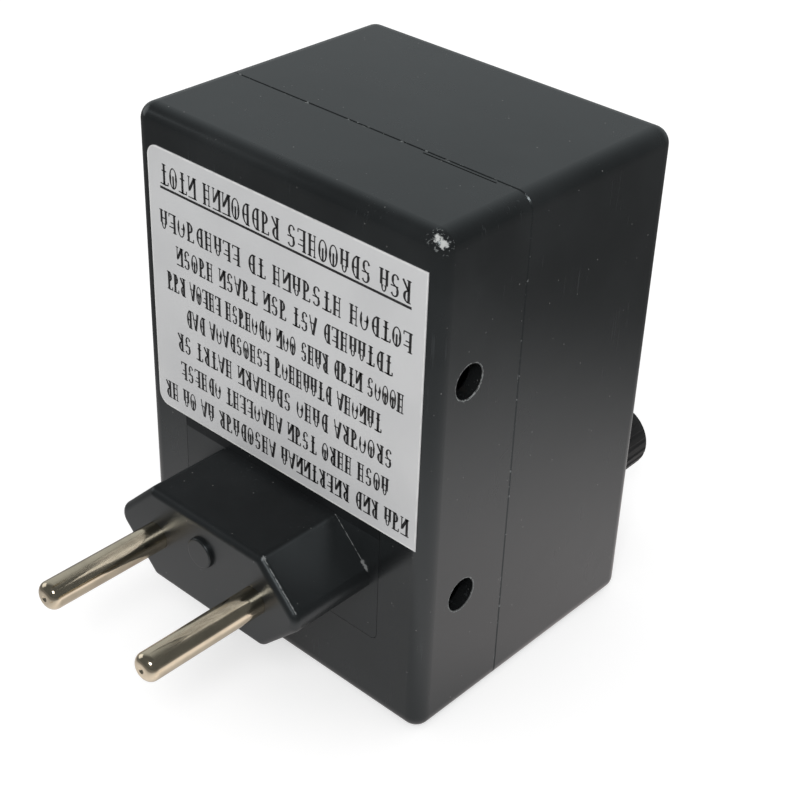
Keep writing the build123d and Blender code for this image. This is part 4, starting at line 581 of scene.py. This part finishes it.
outlet_finish = satin_plastic("outlet_black_satin", OUTLET_BLACK, 0.30, dust=0.25)
knob_finish = matt_plastic("knob_black_matt", (0.014, 0.014, 0.0145), 0.52, 0.5)
pointer_finish = matt_plastic("pointer_white_plastic", (0.80, 0.79, 0.76), 0.45, 0.06)
switch_finish = matt_plastic("switch_dark_phenolic", (0.045, 0.043, 0.042), 0.50, 0.4)
nylon_finish = matt_plastic("nylon_natural", (0.72, 0.70, 0.63), 0.42, 0.08, 6e-6)
NYLON_MILKINESS = 0.15
NYLON_DEPTH = 0.5 * MM
nylon_finish.shader.inputs["Subsurface Weight"].default_value = NYLON_MILKINESS
nylon_finish.shader.inputs["Subsurface Scale"].default_value = NYLON_DEPTH
epoxy_finish = matt_plastic("moulded_epoxy_black", (0.030, 0.030, 0.032), 0.58, 0.5, 14e-6)
print("plain plastics ready")

# %% [markdown]
# ## Plated, brushed and bare metals
#
# The pins are brass under nickel, which gives them a warm champagne tone, and drawing and plugging-in have
# left fine lines along them. A metal's colour is its reflection, so the work is in the roughness: long
# streaks along the piece, and a few darker worn lines where brass shows through. The pins stay smooth
# enough to mirror the floor and the plug as bands, as they do in the photograph.

# %% Metals
def worked_metal(name, color, roughness, lines, worn=None, line_size=0.35 * MM, depth=2e-6):
    """A metal with fine lines, which run along the axis whose scale is small."""
    finish = Finish(name, color, roughness, metallic=1.0)
    streaks = finish.noise(line_size, 3, finish.stretched(*lines), 0.6)
    finish.roughen(finish.span(streaks, 0.35, 0.7), roughness + 0.14)
    finish.tint(finish.span(finish.noise(2.5 * MM, 2), 0.4, 0.75), [0.86 * c for c in color])
    if worn:
        bare = finish.math(
            "MULTIPLY", finish.span(streaks, 0.58, 0.72), finish.span(finish.noise(3.5 * MM), 0.45, 0.65)
        )
        finish.tint(bare, worn)
    finish.relief(streaks, depth)
    return finish


ALONG_Y = (1, 0.03, 1)
ALONG_Z = (1, 1, 0.03)
EVEN = (1, 1, 1)
pin_finish = worked_metal("pin_nickel_plate", (0.80, 0.70, 0.535), 0.07, ALONG_Y, (0.56, 0.43, 0.26))
brass_finish = worked_metal("contact_brass_bare", (0.72, 0.52, 0.24), 0.26, ALONG_Y, (0.45, 0.27, 0.12))
zinc_finish = worked_metal("zinc_bright_plate", (0.60, 0.61, 0.63), 0.30, EVEN, (0.48, 0.46, 0.38), 0.8 * MM)
pot_finish = worked_metal("pot_zinc_plate", (0.58, 0.58, 0.57), 0.28, ALONG_Y, (0.46, 0.44, 0.36))
extrusion_finish = worked_metal("heatsink_extruded", (0.70, 0.71, 0.72), 0.36, ALONG_Z, None, 0.3 * MM, 4e-6)
tab_finish = worked_metal("tab_tinned_copper", (0.66, 0.64, 0.60), 0.32, EVEN, (0.62, 0.40, 0.26), 0.6 * MM)
tin_finish = worked_metal("lead_dull_tin", (0.62, 0.62, 0.61), 0.38, EVEN, None, 0.5 * MM)
print("metals ready")

# %% [markdown]
# ## The rating label
#
# The label is a silver-grey film with a cut edge that catches the light. The film is a coated metal
# layer, so it is neither paint nor mirror: it is a little metallic, with a grain finer than the print.

# %% Label film
label_finish = Finish("label_silver_film", (0.72, 0.725, 0.73), 0.46, metallic=0.15)
label_finish.tint(label_finish.span(label_finish.noise(11 * MM, 2), 0.35, 0.7), (0.68, 0.685, 0.692))
label_finish.roughen(label_finish.span(label_finish.noise(5 * MM, 3), 0.4, 0.7), 0.54)
label_finish.relief(label_finish.noise(0.12 * MM, 2), 2.5e-6)
label_finish.relief(label_finish.noise(12 * MM, 1), 30e-6)

# Painted highlight: a pale finish for the label's cut edge, where it catches the light.
rim_highlight_finish = Finish("label_edge_highlight", (0.80, 0.80, 0.79), 0.5)
rim_highlight_finish.tint(rim_highlight_finish.span(rim_highlight_finish.noise(1.6 * MM, 2), 0.4, 0.65), (0.68, 0.68, 0.67))

ink_finish = Finish("print_ink_black", (0.016, 0.016, 0.017), 0.5)
ink_finish.tint(ink_finish.span(ink_finish.noise(0.5 * MM, 3), 0.5, 0.75), (0.05, 0.05, 0.05))
pad_print_finish = Finish("print_ink_white", (0.72, 0.72, 0.70), 0.5)
pad_print_finish.tint(pad_print_finish.span(pad_print_finish.noise(0.4 * MM, 3), 0.5, 0.8), (0.5, 0.5, 0.49))
print("label and inks ready")

# %% [markdown]
# ## What is on the circuit board
#
# The regulator inside is a small board of brown paper laminate. Its parts each have a coat of their own:
# dipped film capacitors, a lacquered trigger diode and two resistors with colour bands. The bands are
# soft steps along the resistor's own length, measured from its node.

# %% Board, coats and bands
laminate_finish = Finish("laminate_brown_paper", (0.27, 0.145, 0.062), 0.42)
laminate_finish.tint(
    laminate_finish.span(laminate_finish.noise(1.2 * MM, 4, laminate_finish.stretched(1, 1, 0.3)), 0.4, 0.7),
    (0.20, 0.10, 0.042),
)
laminate_finish.relief(laminate_finish.noise(0.3 * MM, 3), 6e-6)


def dipped_coat(name, color, shade):
    """A glossy coat with the slow waves that a dip leaves."""
    finish = Finish(name, color, 0.22)
    finish.tint(finish.span(finish.noise(2.2 * MM, 2), 0.4, 0.7), shade)
    finish.relief(finish.noise(1.8 * MM, 1), 40e-6)
    finish.shader.inputs["Coat Weight"].default_value = 0.4
    return finish


yellow_coat = dipped_coat("capacitor_yellow_box", (0.70, 0.44, 0.05), (0.62, 0.37, 0.04))
green_coat = dipped_coat("capacitor_green_dip", (0.05, 0.17, 0.06), (0.035, 0.12, 0.045))
blue_coat = dipped_coat("diode_blue_lacquer", (0.03, 0.09, 0.34), (0.02, 0.06, 0.24))

BROWN = (0.10, 0.035, 0.012)
BLACK = (0.010, 0.010, 0.010)
ORANGE = (0.75, 0.20, 0.02)
GOLD = (0.50, 0.33, 0.08)
RED = (0.50, 0.02, 0.015)
BAND_PLACES = (0.14, 0.32, 0.48, 0.82)
BAND_HALF_SHARE = 0.045
BAND_EDGE = 0.03 * MM


def banded_resistor(node, bands):
    """Sand-coloured lacquer with colour bands along the resistor's X length."""
    low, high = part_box(node)
    length = high.x - low.x
    finish = Finish(f"{node}_lacquer", (0.56, 0.43, 0.24), 0.3)
    along = finish.axis("X")
    half = BAND_HALF_SHARE * length
    for place, color in zip(BAND_PLACES, bands):
        middle = low.x + place * length
        away = finish.math("ABSOLUTE", finish.math("SUBTRACT", along, middle))
        finish.tint(finish.span(away, half - BAND_EDGE, half + BAND_EDGE, 1.0, 0.0), color)
    finish.relief(finish.noise(1.2 * MM, 1), 20e-6)
    return finish


timing_lacquer = banded_resistor("timing_resistor", (BROWN, BLACK, ORANGE, GOLD))
snubber_lacquer = banded_resistor("snubber_resistor", (BROWN, BLACK, RED, GOLD))

silicone_finish = Finish("silicone_pad_grey", (0.40, 0.42, 0.44), 0.7)
silicone_finish.tint(silicone_finish.span(silicone_finish.cells(0.5 * MM), 0.2, 0.6), (0.33, 0.35, 0.37))


def insulation(name, color):
    """Soft wire insulation with a faint cloud in its colour."""
    finish = Finish(name, color, 0.38)
    finish.tint(finish.span(finish.noise(3 * MM, 2), 0.4, 0.7), [0.8 * c for c in color])
    finish.relief(finish.noise(0.8 * MM, 2), 10e-6)
    return finish


print("board finishes ready")

# %% [markdown]
# ## Handing out the finishes
#
# The record says which material slot each node takes. The table below gives each slot its finish. The two
# resistors, which carry different bands, and the plug, which has wear and painted edge highlights of its
# own, get theirs by name.

# %% Give every node its finish
FINISHES = {
    "case_black": case_finish,
    "label_silver": label_finish,
    "pin_nickel": pin_finish,
    "outlet_black": outlet_finish,
    "knob_black": knob_finish,
    "pointer_white": pointer_finish,
    "contact_brass": brass_finish,
    "screw_steel": zinc_finish,
    "pot_metal": pot_finish,
    "phenolic": laminate_finish,
    "switch_plastic": switch_finish,
    "wiper_nylon": nylon_finish,
    "heatsink_aluminium": extrusion_finish,
    "pad_grey": silicone_finish,
    "tab_copper": tab_finish,
    "epoxy_black": epoxy_finish,
    "film_yellow": yellow_coat,
    "film_green": green_coat,
    "diac_blue": blue_coat,
    "lead_tin": tin_finish,
    "wire_black": insulation("wire_black_pvc", (0.015, 0.015, 0.016)),
    "wire_red": insulation("wire_red_pvc", (0.42, 0.018, 0.014)),
    "wire_blue": insulation("wire_blue_pvc", (0.025, 0.07, 0.36)),
    "wire_white": insulation("wire_white_pvc", (0.70, 0.70, 0.68)),
}
BY_NODE = {
    "timing_resistor": timing_lacquer,
    "snubber_resistor": snubber_lacquer,
    "plug_body": plug_finish,
}


def paint(piece, finish):
    """Puts one finish in every material slot of an object, or in a first slot if it has none."""
    if not piece.material_slots:
        piece.data.materials.append(None)
    for place in piece.material_slots:
        place.material = finish.material


for part in frame["record"]["subparts"]:
    paint(frame["nodes"][part["node"]], BY_NODE.get(part["node"]) or FINISHES[part["material_slot"]])

# %% [markdown]
# ## Thin print
#
# Print has a thickness of hundredths of a millimetre. It is built as real geometry, because a texture
# would need an image and a material pattern would need the layout inside its nodes. Each stroke is a thin
# plate that stands out of the printed face. One helper lays a plate on a vertical face, given its outline
# in the face's own X and Z, and another joins all the plates of a print into one piece.

# %% Plates on a face
INK_SINK = 0.004 * MM
INK_RISE = 0.014 * MM


class Print:
    """Plates on a face that looks along Y, gathered into one mesh."""

    def __init__(self, name, face, outward, rise=INK_RISE):
        self.name = name
        self.mesh = bmesh.new()
        self.back = face - outward * INK_SINK
        self.front = face + outward * rise
        self.outward = outward

    def plate(self, outline):
        """Adds a convex plate from its outline, a list of (x, z) in metres in either turning sense."""
        area = sum(a[0] * b[1] - b[0] * a[1] for a, b in zip(outline, outline[1:] + outline[:1]))
        if (area > 0) == (self.outward > 0):
            outline = outline[::-1]
        front = [self.mesh.verts.new((x, self.front, z)) for x, z in outline]
        back = [self.mesh.verts.new((x, self.back, z)) for x, z in outline]
        self.mesh.faces.new(front)
        self.mesh.faces.new(back[::-1])
        for i in range(len(outline)):
            j = (i + 1) % len(outline)
            self.mesh.faces.new((front[i], back[i], back[j], front[j]))

    def bar(self, start, end, width):
        """Adds a straight stroke of a given width."""
        start, end = Vector(start), Vector(end)
        side = (end - start).normalized().orthogonal() * width / 2
        self.plate([tuple(start + side), tuple(end + side), tuple(end - side), tuple(start - side)])

    def piece(self, finish, slot, body="casing"):
        """Turns the plates into an object that rides on a body."""
        bmesh.ops.recalc_face_normals(self.mesh, faces=self.mesh.faces)
        data = bpy.data.meshes.new(self.name)
        self.mesh.to_mesh(data)
        self.mesh.free()
        piece = bpy.data.objects.new(self.name, data)
        bpy.context.scene.collection.objects.link(piece)
        paint(piece, finish)
        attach(piece, body)
        print(self.name, len(data.polygons), "faces")


# %% [markdown]
# ## The cut edge of the label
#
# A die cuts the label out of the film, and the cut edge catches the light as a pale line round it; that
# highlight is painted here. The line is a ring of short plates that follows the label's outline: square
# corners on one side and rounded corners on the other, as in the photograph. It could be a band in the
# film's own colour, but a ring has a finish of its own.

# %% Label edge
EDGE_WIDTH = 0.20 * MM
EDGE_INSET = 0.02 * MM
EDGE_RISE = 0.006 * MM
LABEL_CORNER = 1.8 * MM
CORNER_STEPS = 8


def label_outline(inset):
    """The label's outline moved inwards, as a list of (x, z), rounded at its two +X corners."""
    low_x, high_x = label_low.x + inset, label_high.x - inset
    low_z, high_z = label_low.z + inset, label_high.z - inset
    radius = LABEL_CORNER - inset
    points = [(low_x, high_z), (low_x, low_z)]
    for centre_z, first in ((low_z + radius, -90), (high_z - radius, 0)):
        for step in range(CORNER_STEPS + 1):
            angle = math.radians(first + 90 * step / CORNER_STEPS)
            points.append((high_x - radius + radius * math.cos(angle), centre_z + radius * math.sin(angle)))
    return points


# The ring of plates that carries the painted highlight of the cut edge.
edge = Print("label_edge_highlight", LABEL_FACE, 1, EDGE_RISE)
outer, inner = label_outline(EDGE_INSET), label_outline(EDGE_WIDTH)
for i in range(len(outer)):
    j = (i + 1) % len(outer)
    edge.plate([outer[i], outer[j], inner[j], inner[i]])
edge.piece(rim_highlight_finish, "label_silver")

# %% [markdown]
# ## Words that say nothing
#
# The real label has a heading and seven lines of small serif capitals. The words belong to the maker, so
# the print here is greeked: invented signs with the weight and rhythm of condensed serif print. A sign is
# made of stems, bars, slopes and bowls in a unit box. As in real print, upright strokes are thick and level
# ones thin, stems end in serifs, and a bowl swells at its sides.

# %% Strokes
THICK = 0.40 * MM
MEDIUM = 0.30 * MM
THIN = 0.17 * MM
SERIF = 0.30 * MM
SERIF_WEIGHT = 0.8 * THIN
TICK = 0.45 * MM
BOWL_STEP = 20


class Sign:
    """Draws the strokes of one sign. Its left edge, seen from behind the dimmer, is at x."""

    def __init__(self, sheet, x, base, width, height):
        self.sheet, self.x, self.base, self.width, self.height = sheet, x, base, width, height

    def at(self, u, v):
        """The (x, z) of a place in the sign's unit box."""
        return Vector((self.x - u * self.width, self.base + v * self.height))

    def stem(self, u, low, high, weight=THICK):
        """An upright stroke, with serifs where it ends at the line's foot or top."""
        self.sheet.bar(self.at(u, low), self.at(u, high), weight)
        for v, inward in ((low, 1), (high, -1)):
            if v in (0, 1):
                foot = self.at(u, v) + Vector((0, inward * THIN / 2))
                reach = Vector(((weight + SERIF) / 2, 0))
                self.sheet.bar(foot - reach, foot + reach, SERIF_WEIGHT)

    def bar(self, first, last, v, tick=0):
        """A level stroke, with a small upright tick at its far end."""
        inward = Vector((0, THIN / 2 if v < 0.5 else -THIN / 2))
        end = self.at(last, v) + inward
        self.sheet.bar(self.at(first, v) + inward, end, THIN)
        if tick:
            self.sheet.bar(end, end + Vector((0, tick * TICK)), THIN)

    def slope(self, u, v, end_u, end_v, weight=THICK):
        """A slanting stroke."""
        self.sheet.bar(self.at(u, v), self.at(end_u, end_v), weight)

    def bowl(self, u, v, across, up, first, last):
        """An arc between two angles in degrees, thick at its sides and thin at its top and foot."""
        rims = []
        steps = max(2, round(abs(last - first) / BOWL_STEP))
        for step in range(steps + 1):
            angle = math.radians(first + (last - first) * step / steps)
            out = Vector((-math.cos(angle) * across * self.width, math.sin(angle) * up * self.height))
            side = out.normalized() * (THIN + (THICK - THIN) * math.cos(angle) ** 2)
            rims.append((self.at(u, v) + out - side, self.at(u, v) + out))
        for (inner, outer), (next_inner, next_outer) in zip(rims, rims[1:]):
            self.sheet.plate([tuple(inner), tuple(outer), tuple(next_outer), tuple(next_inner)])


# %% [markdown]
# Each recipe is one sign: the name of each stroke and its numbers in the unit box. The strokes are put
# together at will, so the lines spell nothing. Seeded random numbers choose the signs and the lengths of the
# words, so each run gives the same label.

# %% Signs
SIGNS = (
    (("stem", 0.76, 0, 1), ("bowl", 0.74, 0.5, 0.56, 0.5, 90, 270), ("bar", 0.3, 0.7, 0.5)),
    (("stem", 0.74, 0, 1), ("bar", 0.7, 0.12, 0.26), ("bar", 0.7, 0.3, 0.55), ("bar", 0.7, 0.12, 1, -1)),
    (("stem", 0.26, 0, 1), ("stem", 0.74, 0, 1, THIN), ("bar", 0.26, 0.74, 0.3), ("bar", 0.26, 0.74, 0.74)),
    (("bowl", 0.5, 0.5, 0.44, 0.5, 0, 360), ("stem", 0.5, 0.04, 0.62, MEDIUM)),
    (("slope", 0.10, 1, 0.46, 0.04, THIN), ("slope", 0.88, 1, 0.54, 0.04), ("bar", 0.1, 0.6, 0.66, -1)),
    (("stem", 0.3, 0, 1), ("bowl", 0.3, 0.72, 0.5, 0.28, -90, 90), ("bar", 0.3, 0.86, 0, 1)),
    (
        ("bowl", 0.52, 0.74, 0.36, 0.26, 20, 270), ("bowl", 0.46, 0.26, 0.4, 0.26, -150, 90),
        ("bar", 0.1, 0.8, 0.5),
    ),
    (
        ("stem", 0.5, 0, 1), ("bar", 0.06, 0.94, 0.02, 1), ("bar", 0.94, 0.5, 0.02, 1),
        ("bar", 0.24, 0.76, 0.7),
    ),
    (
        ("stem", 0.2, 0.3, 1, THIN), ("slope", 0.24, 0.36, 0.78, 0.94), ("stem", 0.84, 0, 1),
        ("bar", 0.1, 0.8, 0),
    ),
    (
        ("stem", 0.72, 0, 1), ("bowl", 0.7, 0.28, 0.5, 0.28, 90, 270),
        ("slope", 0.66, 0.54, 0.16, 0.97, MEDIUM),
    ),
    (("bowl", 0.48, 0.5, 0.42, 0.5, 130, 400), ("bar", 0.5, 0.86, 0.44, 1)),
    (
        ("stem", 0.26, 0.3, 1), ("bowl", 0.52, 0.3, 0.26, 0.3, 180, 360), ("stem", 0.78, 0.3, 1),
        ("bar", 0.3, 0.7, 0.6),
    ),
)
WORD_LENGTHS = (2, 3, 4, 5, 6, 7, 8, 9)
WORD_GAP = 0.6
SIGN_SIDE = 0.02
SIGN_SHARE = 0.96
print(len(SIGNS), "signs")


def write_line(sheet, chance, left, length, base, height, pitch):
    """Fills a line with words of random lengths, stretched so that it ends where it should."""
    words = []
    room = round(length / pitch)
    while room > 2:
        word = min(chance.choice(WORD_LENGTHS), room)
        words.append(word)
        room -= word + 1
    step = length / (sum(words) + WORD_GAP * (len(words) - 1))
    place = left
    for word in words:
        for _ in range(word):
            sign = Sign(sheet, place - SIGN_SIDE * step, base, SIGN_SHARE * step, height)
            for stroke, *numbers in chance.choice(SIGNS):
                getattr(sign, stroke)(*numbers)
            place -= step
        place -= WORD_GAP * step


# %% [markdown]
# The lines are centred on the label. The heading is taller and underlined, and the lines below it are
# evenly spaced and reach nearly to the label's sides, as the photograph shows.

# %% Print the label
HEADING_TOP = 2.1 * MM
HEADING_HEIGHT = 3.0 * MM
HEADING_LENGTH = 44.0 * MM
HEADING_PITCH = 1.7 * MM
UNDERLINE_DROP = 0.45 * MM
UNDERLINE_WIDTH = 0.35 * MM
FIRST_LINE_TOP = 8.8 * MM
LINE_PITCH = 4.42 * MM
LINE_HEIGHT = 2.75 * MM
# How long each line is, and how far apart its signs stand
LINES_MM = ((45.0, 1.65), (39.0, 1.40), (43.0, 1.15), (36.0, 1.25), (40.0, 1.30), (39.0, 1.25), (46.0, 1.30))
LABEL_SEED = 21

chance = random.Random(LABEL_SEED)
middle_x = (label_low.x + label_high.x) / 2
heading_left = middle_x + HEADING_LENGTH / 2
heading_right = middle_x - HEADING_LENGTH / 2
words_sheet = Print("label_print", LABEL_FACE, 1)
heading_base = label_high.z - HEADING_TOP - HEADING_HEIGHT
write_line(words_sheet, chance, heading_left, HEADING_LENGTH, heading_base, HEADING_HEIGHT, HEADING_PITCH)
underline_z = heading_base - UNDERLINE_DROP
words_sheet.bar((heading_left, underline_z), (heading_right, underline_z), UNDERLINE_WIDTH)
for row, (length, pitch) in enumerate(LINES_MM):
    base = label_high.z - FIRST_LINE_TOP - row * LINE_PITCH - LINE_HEIGHT
    write_line(words_sheet, chance, middle_x + length * MM / 2, length * MM, base, LINE_HEIGHT, pitch * MM)
words_sheet.piece(ink_finish, "label_silver")

# %% [markdown]
# ## The dial on the front
#
# The front can't be seen in the photograph. A knob that switches on and then turns up needs a scale, so the
# front gets a plain one in white pad print: a tick and a number for each step, and OFF where the knob
# clicks. The numbers are Blender text objects turned into meshes, which keeps them ordinary geometry.

# %% Dial ticks
knob_x = (knob_low.x + knob_high.x) / 2
knob_z = (knob_low.z + knob_high.z) / 2
OFF_ANGLE = 240
SCALE_START = 34
SCALE_END = 300
STEPS = 9
TICK_INNER = 6.5 * MM
TICK_LENGTH = 1.0 * MM
TICK_WIDTH = 0.22 * MM
END_TICK_WIDTH = 0.3 * MM
ARC_STEPS = 64
ARC_HALF_WIDTH = 0.09 * MM


def dial_point(turn, radius):
    """The (x, z) on the front face, radius from the knob's axis, after a clockwise turn from OFF."""
    angle = math.radians(OFF_ANGLE - turn)
    return knob_x + radius * math.cos(angle), knob_z + radius * math.sin(angle)


turns = [SCALE_START + (SCALE_END - SCALE_START) * step / (STEPS - 1) for step in range(STEPS)]
ticks = Print("dial_ticks", FRONT_FACE, -1)
for turn in (0, *turns):
    width = END_TICK_WIDTH if turn in (0, turns[0], turns[-1]) else TICK_WIDTH
    ticks.bar(dial_point(turn, TICK_INNER), dial_point(turn, TICK_INNER + TICK_LENGTH), width)
for step in range(ARC_STEPS):
    near = turns[0] + (turns[-1] - turns[0]) * step / ARC_STEPS
    far = turns[0] + (turns[-1] - turns[0]) * (step + 1) / ARC_STEPS
    inside, outside = TICK_INNER - ARC_HALF_WIDTH, TICK_INNER + ARC_HALF_WIDTH
    ticks.plate([
        dial_point(near, inside), dial_point(near, outside),
        dial_point(far, outside), dial_point(far, inside),
    ])
ticks.piece(pad_print_finish, "pointer_white")

# %% Dial numbers
NUMBER_RADIUS = 8.9 * MM
NUMBER_HEIGHT = 1.9 * MM
OFF_HEIGHT = 1.5 * MM
OFF_SHIFT_X = -0.4 * MM
OFF_SHIFT_Z = -0.3 * MM
SIZE_PER_HEIGHT = 1.4
WELD_DISTANCE = 0.002 * MM
FACE_THE_ROOM = Matrix.Rotation(math.radians(90), 4, "X")


def printed_text(name, words, x, z, height):
    """A word as a thin mesh on the front face, centred on (x, z)."""
    curve = bpy.data.curves.new(name, "FONT")
    curve.body = words
    curve.size = height * SIZE_PER_HEIGHT
    curve.align_x = "CENTER"
    curve.align_y = "CENTER"
    curve.extrude = (INK_SINK + INK_RISE) / 2
    text = bpy.data.objects.new(name, curve)
    bpy.context.scene.collection.objects.link(text)
    bpy.context.view_layer.update()
    data = bpy.data.meshes.new_from_object(text.evaluated_get(bpy.context.evaluated_depsgraph_get()))
    bpy.data.objects.remove(text)
    data.transform(Matrix.Translation((x, FRONT_FACE - (INK_RISE - INK_SINK) / 2, z)) @ FACE_THE_ROOM)
    return data


numbers = bmesh.new()
for step, turn in enumerate(turns):
    number_x, number_z = dial_point(turn, NUMBER_RADIUS)
    numbers.from_mesh(printed_text("dial_number", str(step + 1), number_x, number_z, NUMBER_HEIGHT))
off_x, off_z = dial_point(0, NUMBER_RADIUS)
numbers.from_mesh(printed_text("dial_off", "OFF", off_x + OFF_SHIFT_X, off_z + OFF_SHIFT_Z, OFF_HEIGHT))
bmesh.ops.remove_doubles(numbers, verts=numbers.verts, dist=WELD_DISTANCE)
numbers_mesh = bpy.data.meshes.new("dial_numbers")
numbers.to_mesh(numbers_mesh)
numbers.free()
dial_numbers = bpy.data.objects.new("dial_numbers", numbers_mesh)
bpy.context.scene.collection.objects.link(dial_numbers)
paint(dial_numbers, pad_print_finish)
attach(dial_numbers, "casing")
print("dial_numbers", len(numbers_mesh.polygons), "faces")

# %% [markdown]
# ## Burrs round the drilled vents
#
# The four vents are drilled after moulding, and the drill leaves a thin pale lip of torn plastic in each
# mouth. Relief in a finish can't reach into an open hole, so the lip is real geometry: a ring of short
# facets whose width and height wander with a few seeded waves. It lies inside the hole's mouth, so the
# case keeps its size.

# %% Vent lips
LIP_STEPS = 72
LIP_WAVES = 7
LIP_WIDTH = 0.10 * MM
LIP_SWELL = 0.09 * MM
LIP_ROOT = 0.02 * MM
ROOT_DEPTH = 0.10 * MM
HEM_DEPTH = 0.14 * MM
CREST_OUT = 0.01 * MM
CREST_DEPTH = 0.02 * MM
CREST_SWELL = 0.015 * MM
CREST_SHARE = 0.6

burr_finish = Finish("burr_pale_plastic", (0.085, 0.088, 0.088), 0.55)
burr_finish.tint(burr_finish.span(burr_finish.noise(0.5 * MM, 3), 0.5, 0.62), (0.30, 0.31, 0.31))


def vent_lip(name, centre, side, seed):
    """A wandering ring just inside a vent's mouth on the +X or -X side."""
    wander = random.Random(seed)
    waves = [
        (wander.randint(2, 11), wander.uniform(0, math.tau), wander.uniform(0.2, 1.0))
        for _ in range(LIP_WAVES)
    ]
    mesh = bmesh.new()
    rings = []
    face = side * abs(CASE_SIDE)
    for step in range(LIP_STEPS):
        angle = math.tau * step / LIP_STEPS
        swell = sum(size * math.sin(count * angle + start) for count, start, size in waves) / len(waves)
        width = LIP_WIDTH + LIP_SWELL * max(0.0, swell)
        crest = face - side * (CREST_DEPTH - CREST_SWELL * swell)
        ring = []
        for radius, x in (
            (VENT_RADIUS + LIP_ROOT, face - side * ROOT_DEPTH),
            (VENT_RADIUS - CREST_OUT, crest),
            (VENT_RADIUS - width * CREST_SHARE, crest - side * CREST_OUT),
            (VENT_RADIUS - width, face - side * HEM_DEPTH),
        ):
            y, z = centre.y + radius * math.cos(angle), centre.z + radius * math.sin(angle)
            ring.append(mesh.verts.new((x, y, z)))
        rings.append(ring)
    for ring, after in zip(rings, rings[1:] + rings[:1]):
        for i in range(4):
            j = (i + 1) % 4
            mesh.faces.new((ring[i], ring[j], after[j], after[i]))
    bmesh.ops.recalc_face_normals(mesh, faces=mesh.faces)
    data = bpy.data.meshes.new(name)
    mesh.to_mesh(data)
    mesh.free()
    lip = bpy.data.objects.new(name, data)
    bpy.context.scene.collection.objects.link(lip)
    for polygon in data.polygons:
        polygon.use_smooth = True
    paint(lip, burr_finish)
    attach(lip, "casing")
    print(name, len(data.polygons), "faces")


for name, centre in (("upper", UPPER_VENT), ("lower", LOWER_VENT)):
    for side, word in ((-1, "left"), (1, "right")):
        vent_lip(f"vent_lip_{name}_{word}", centre, side, len(name + word) + side)
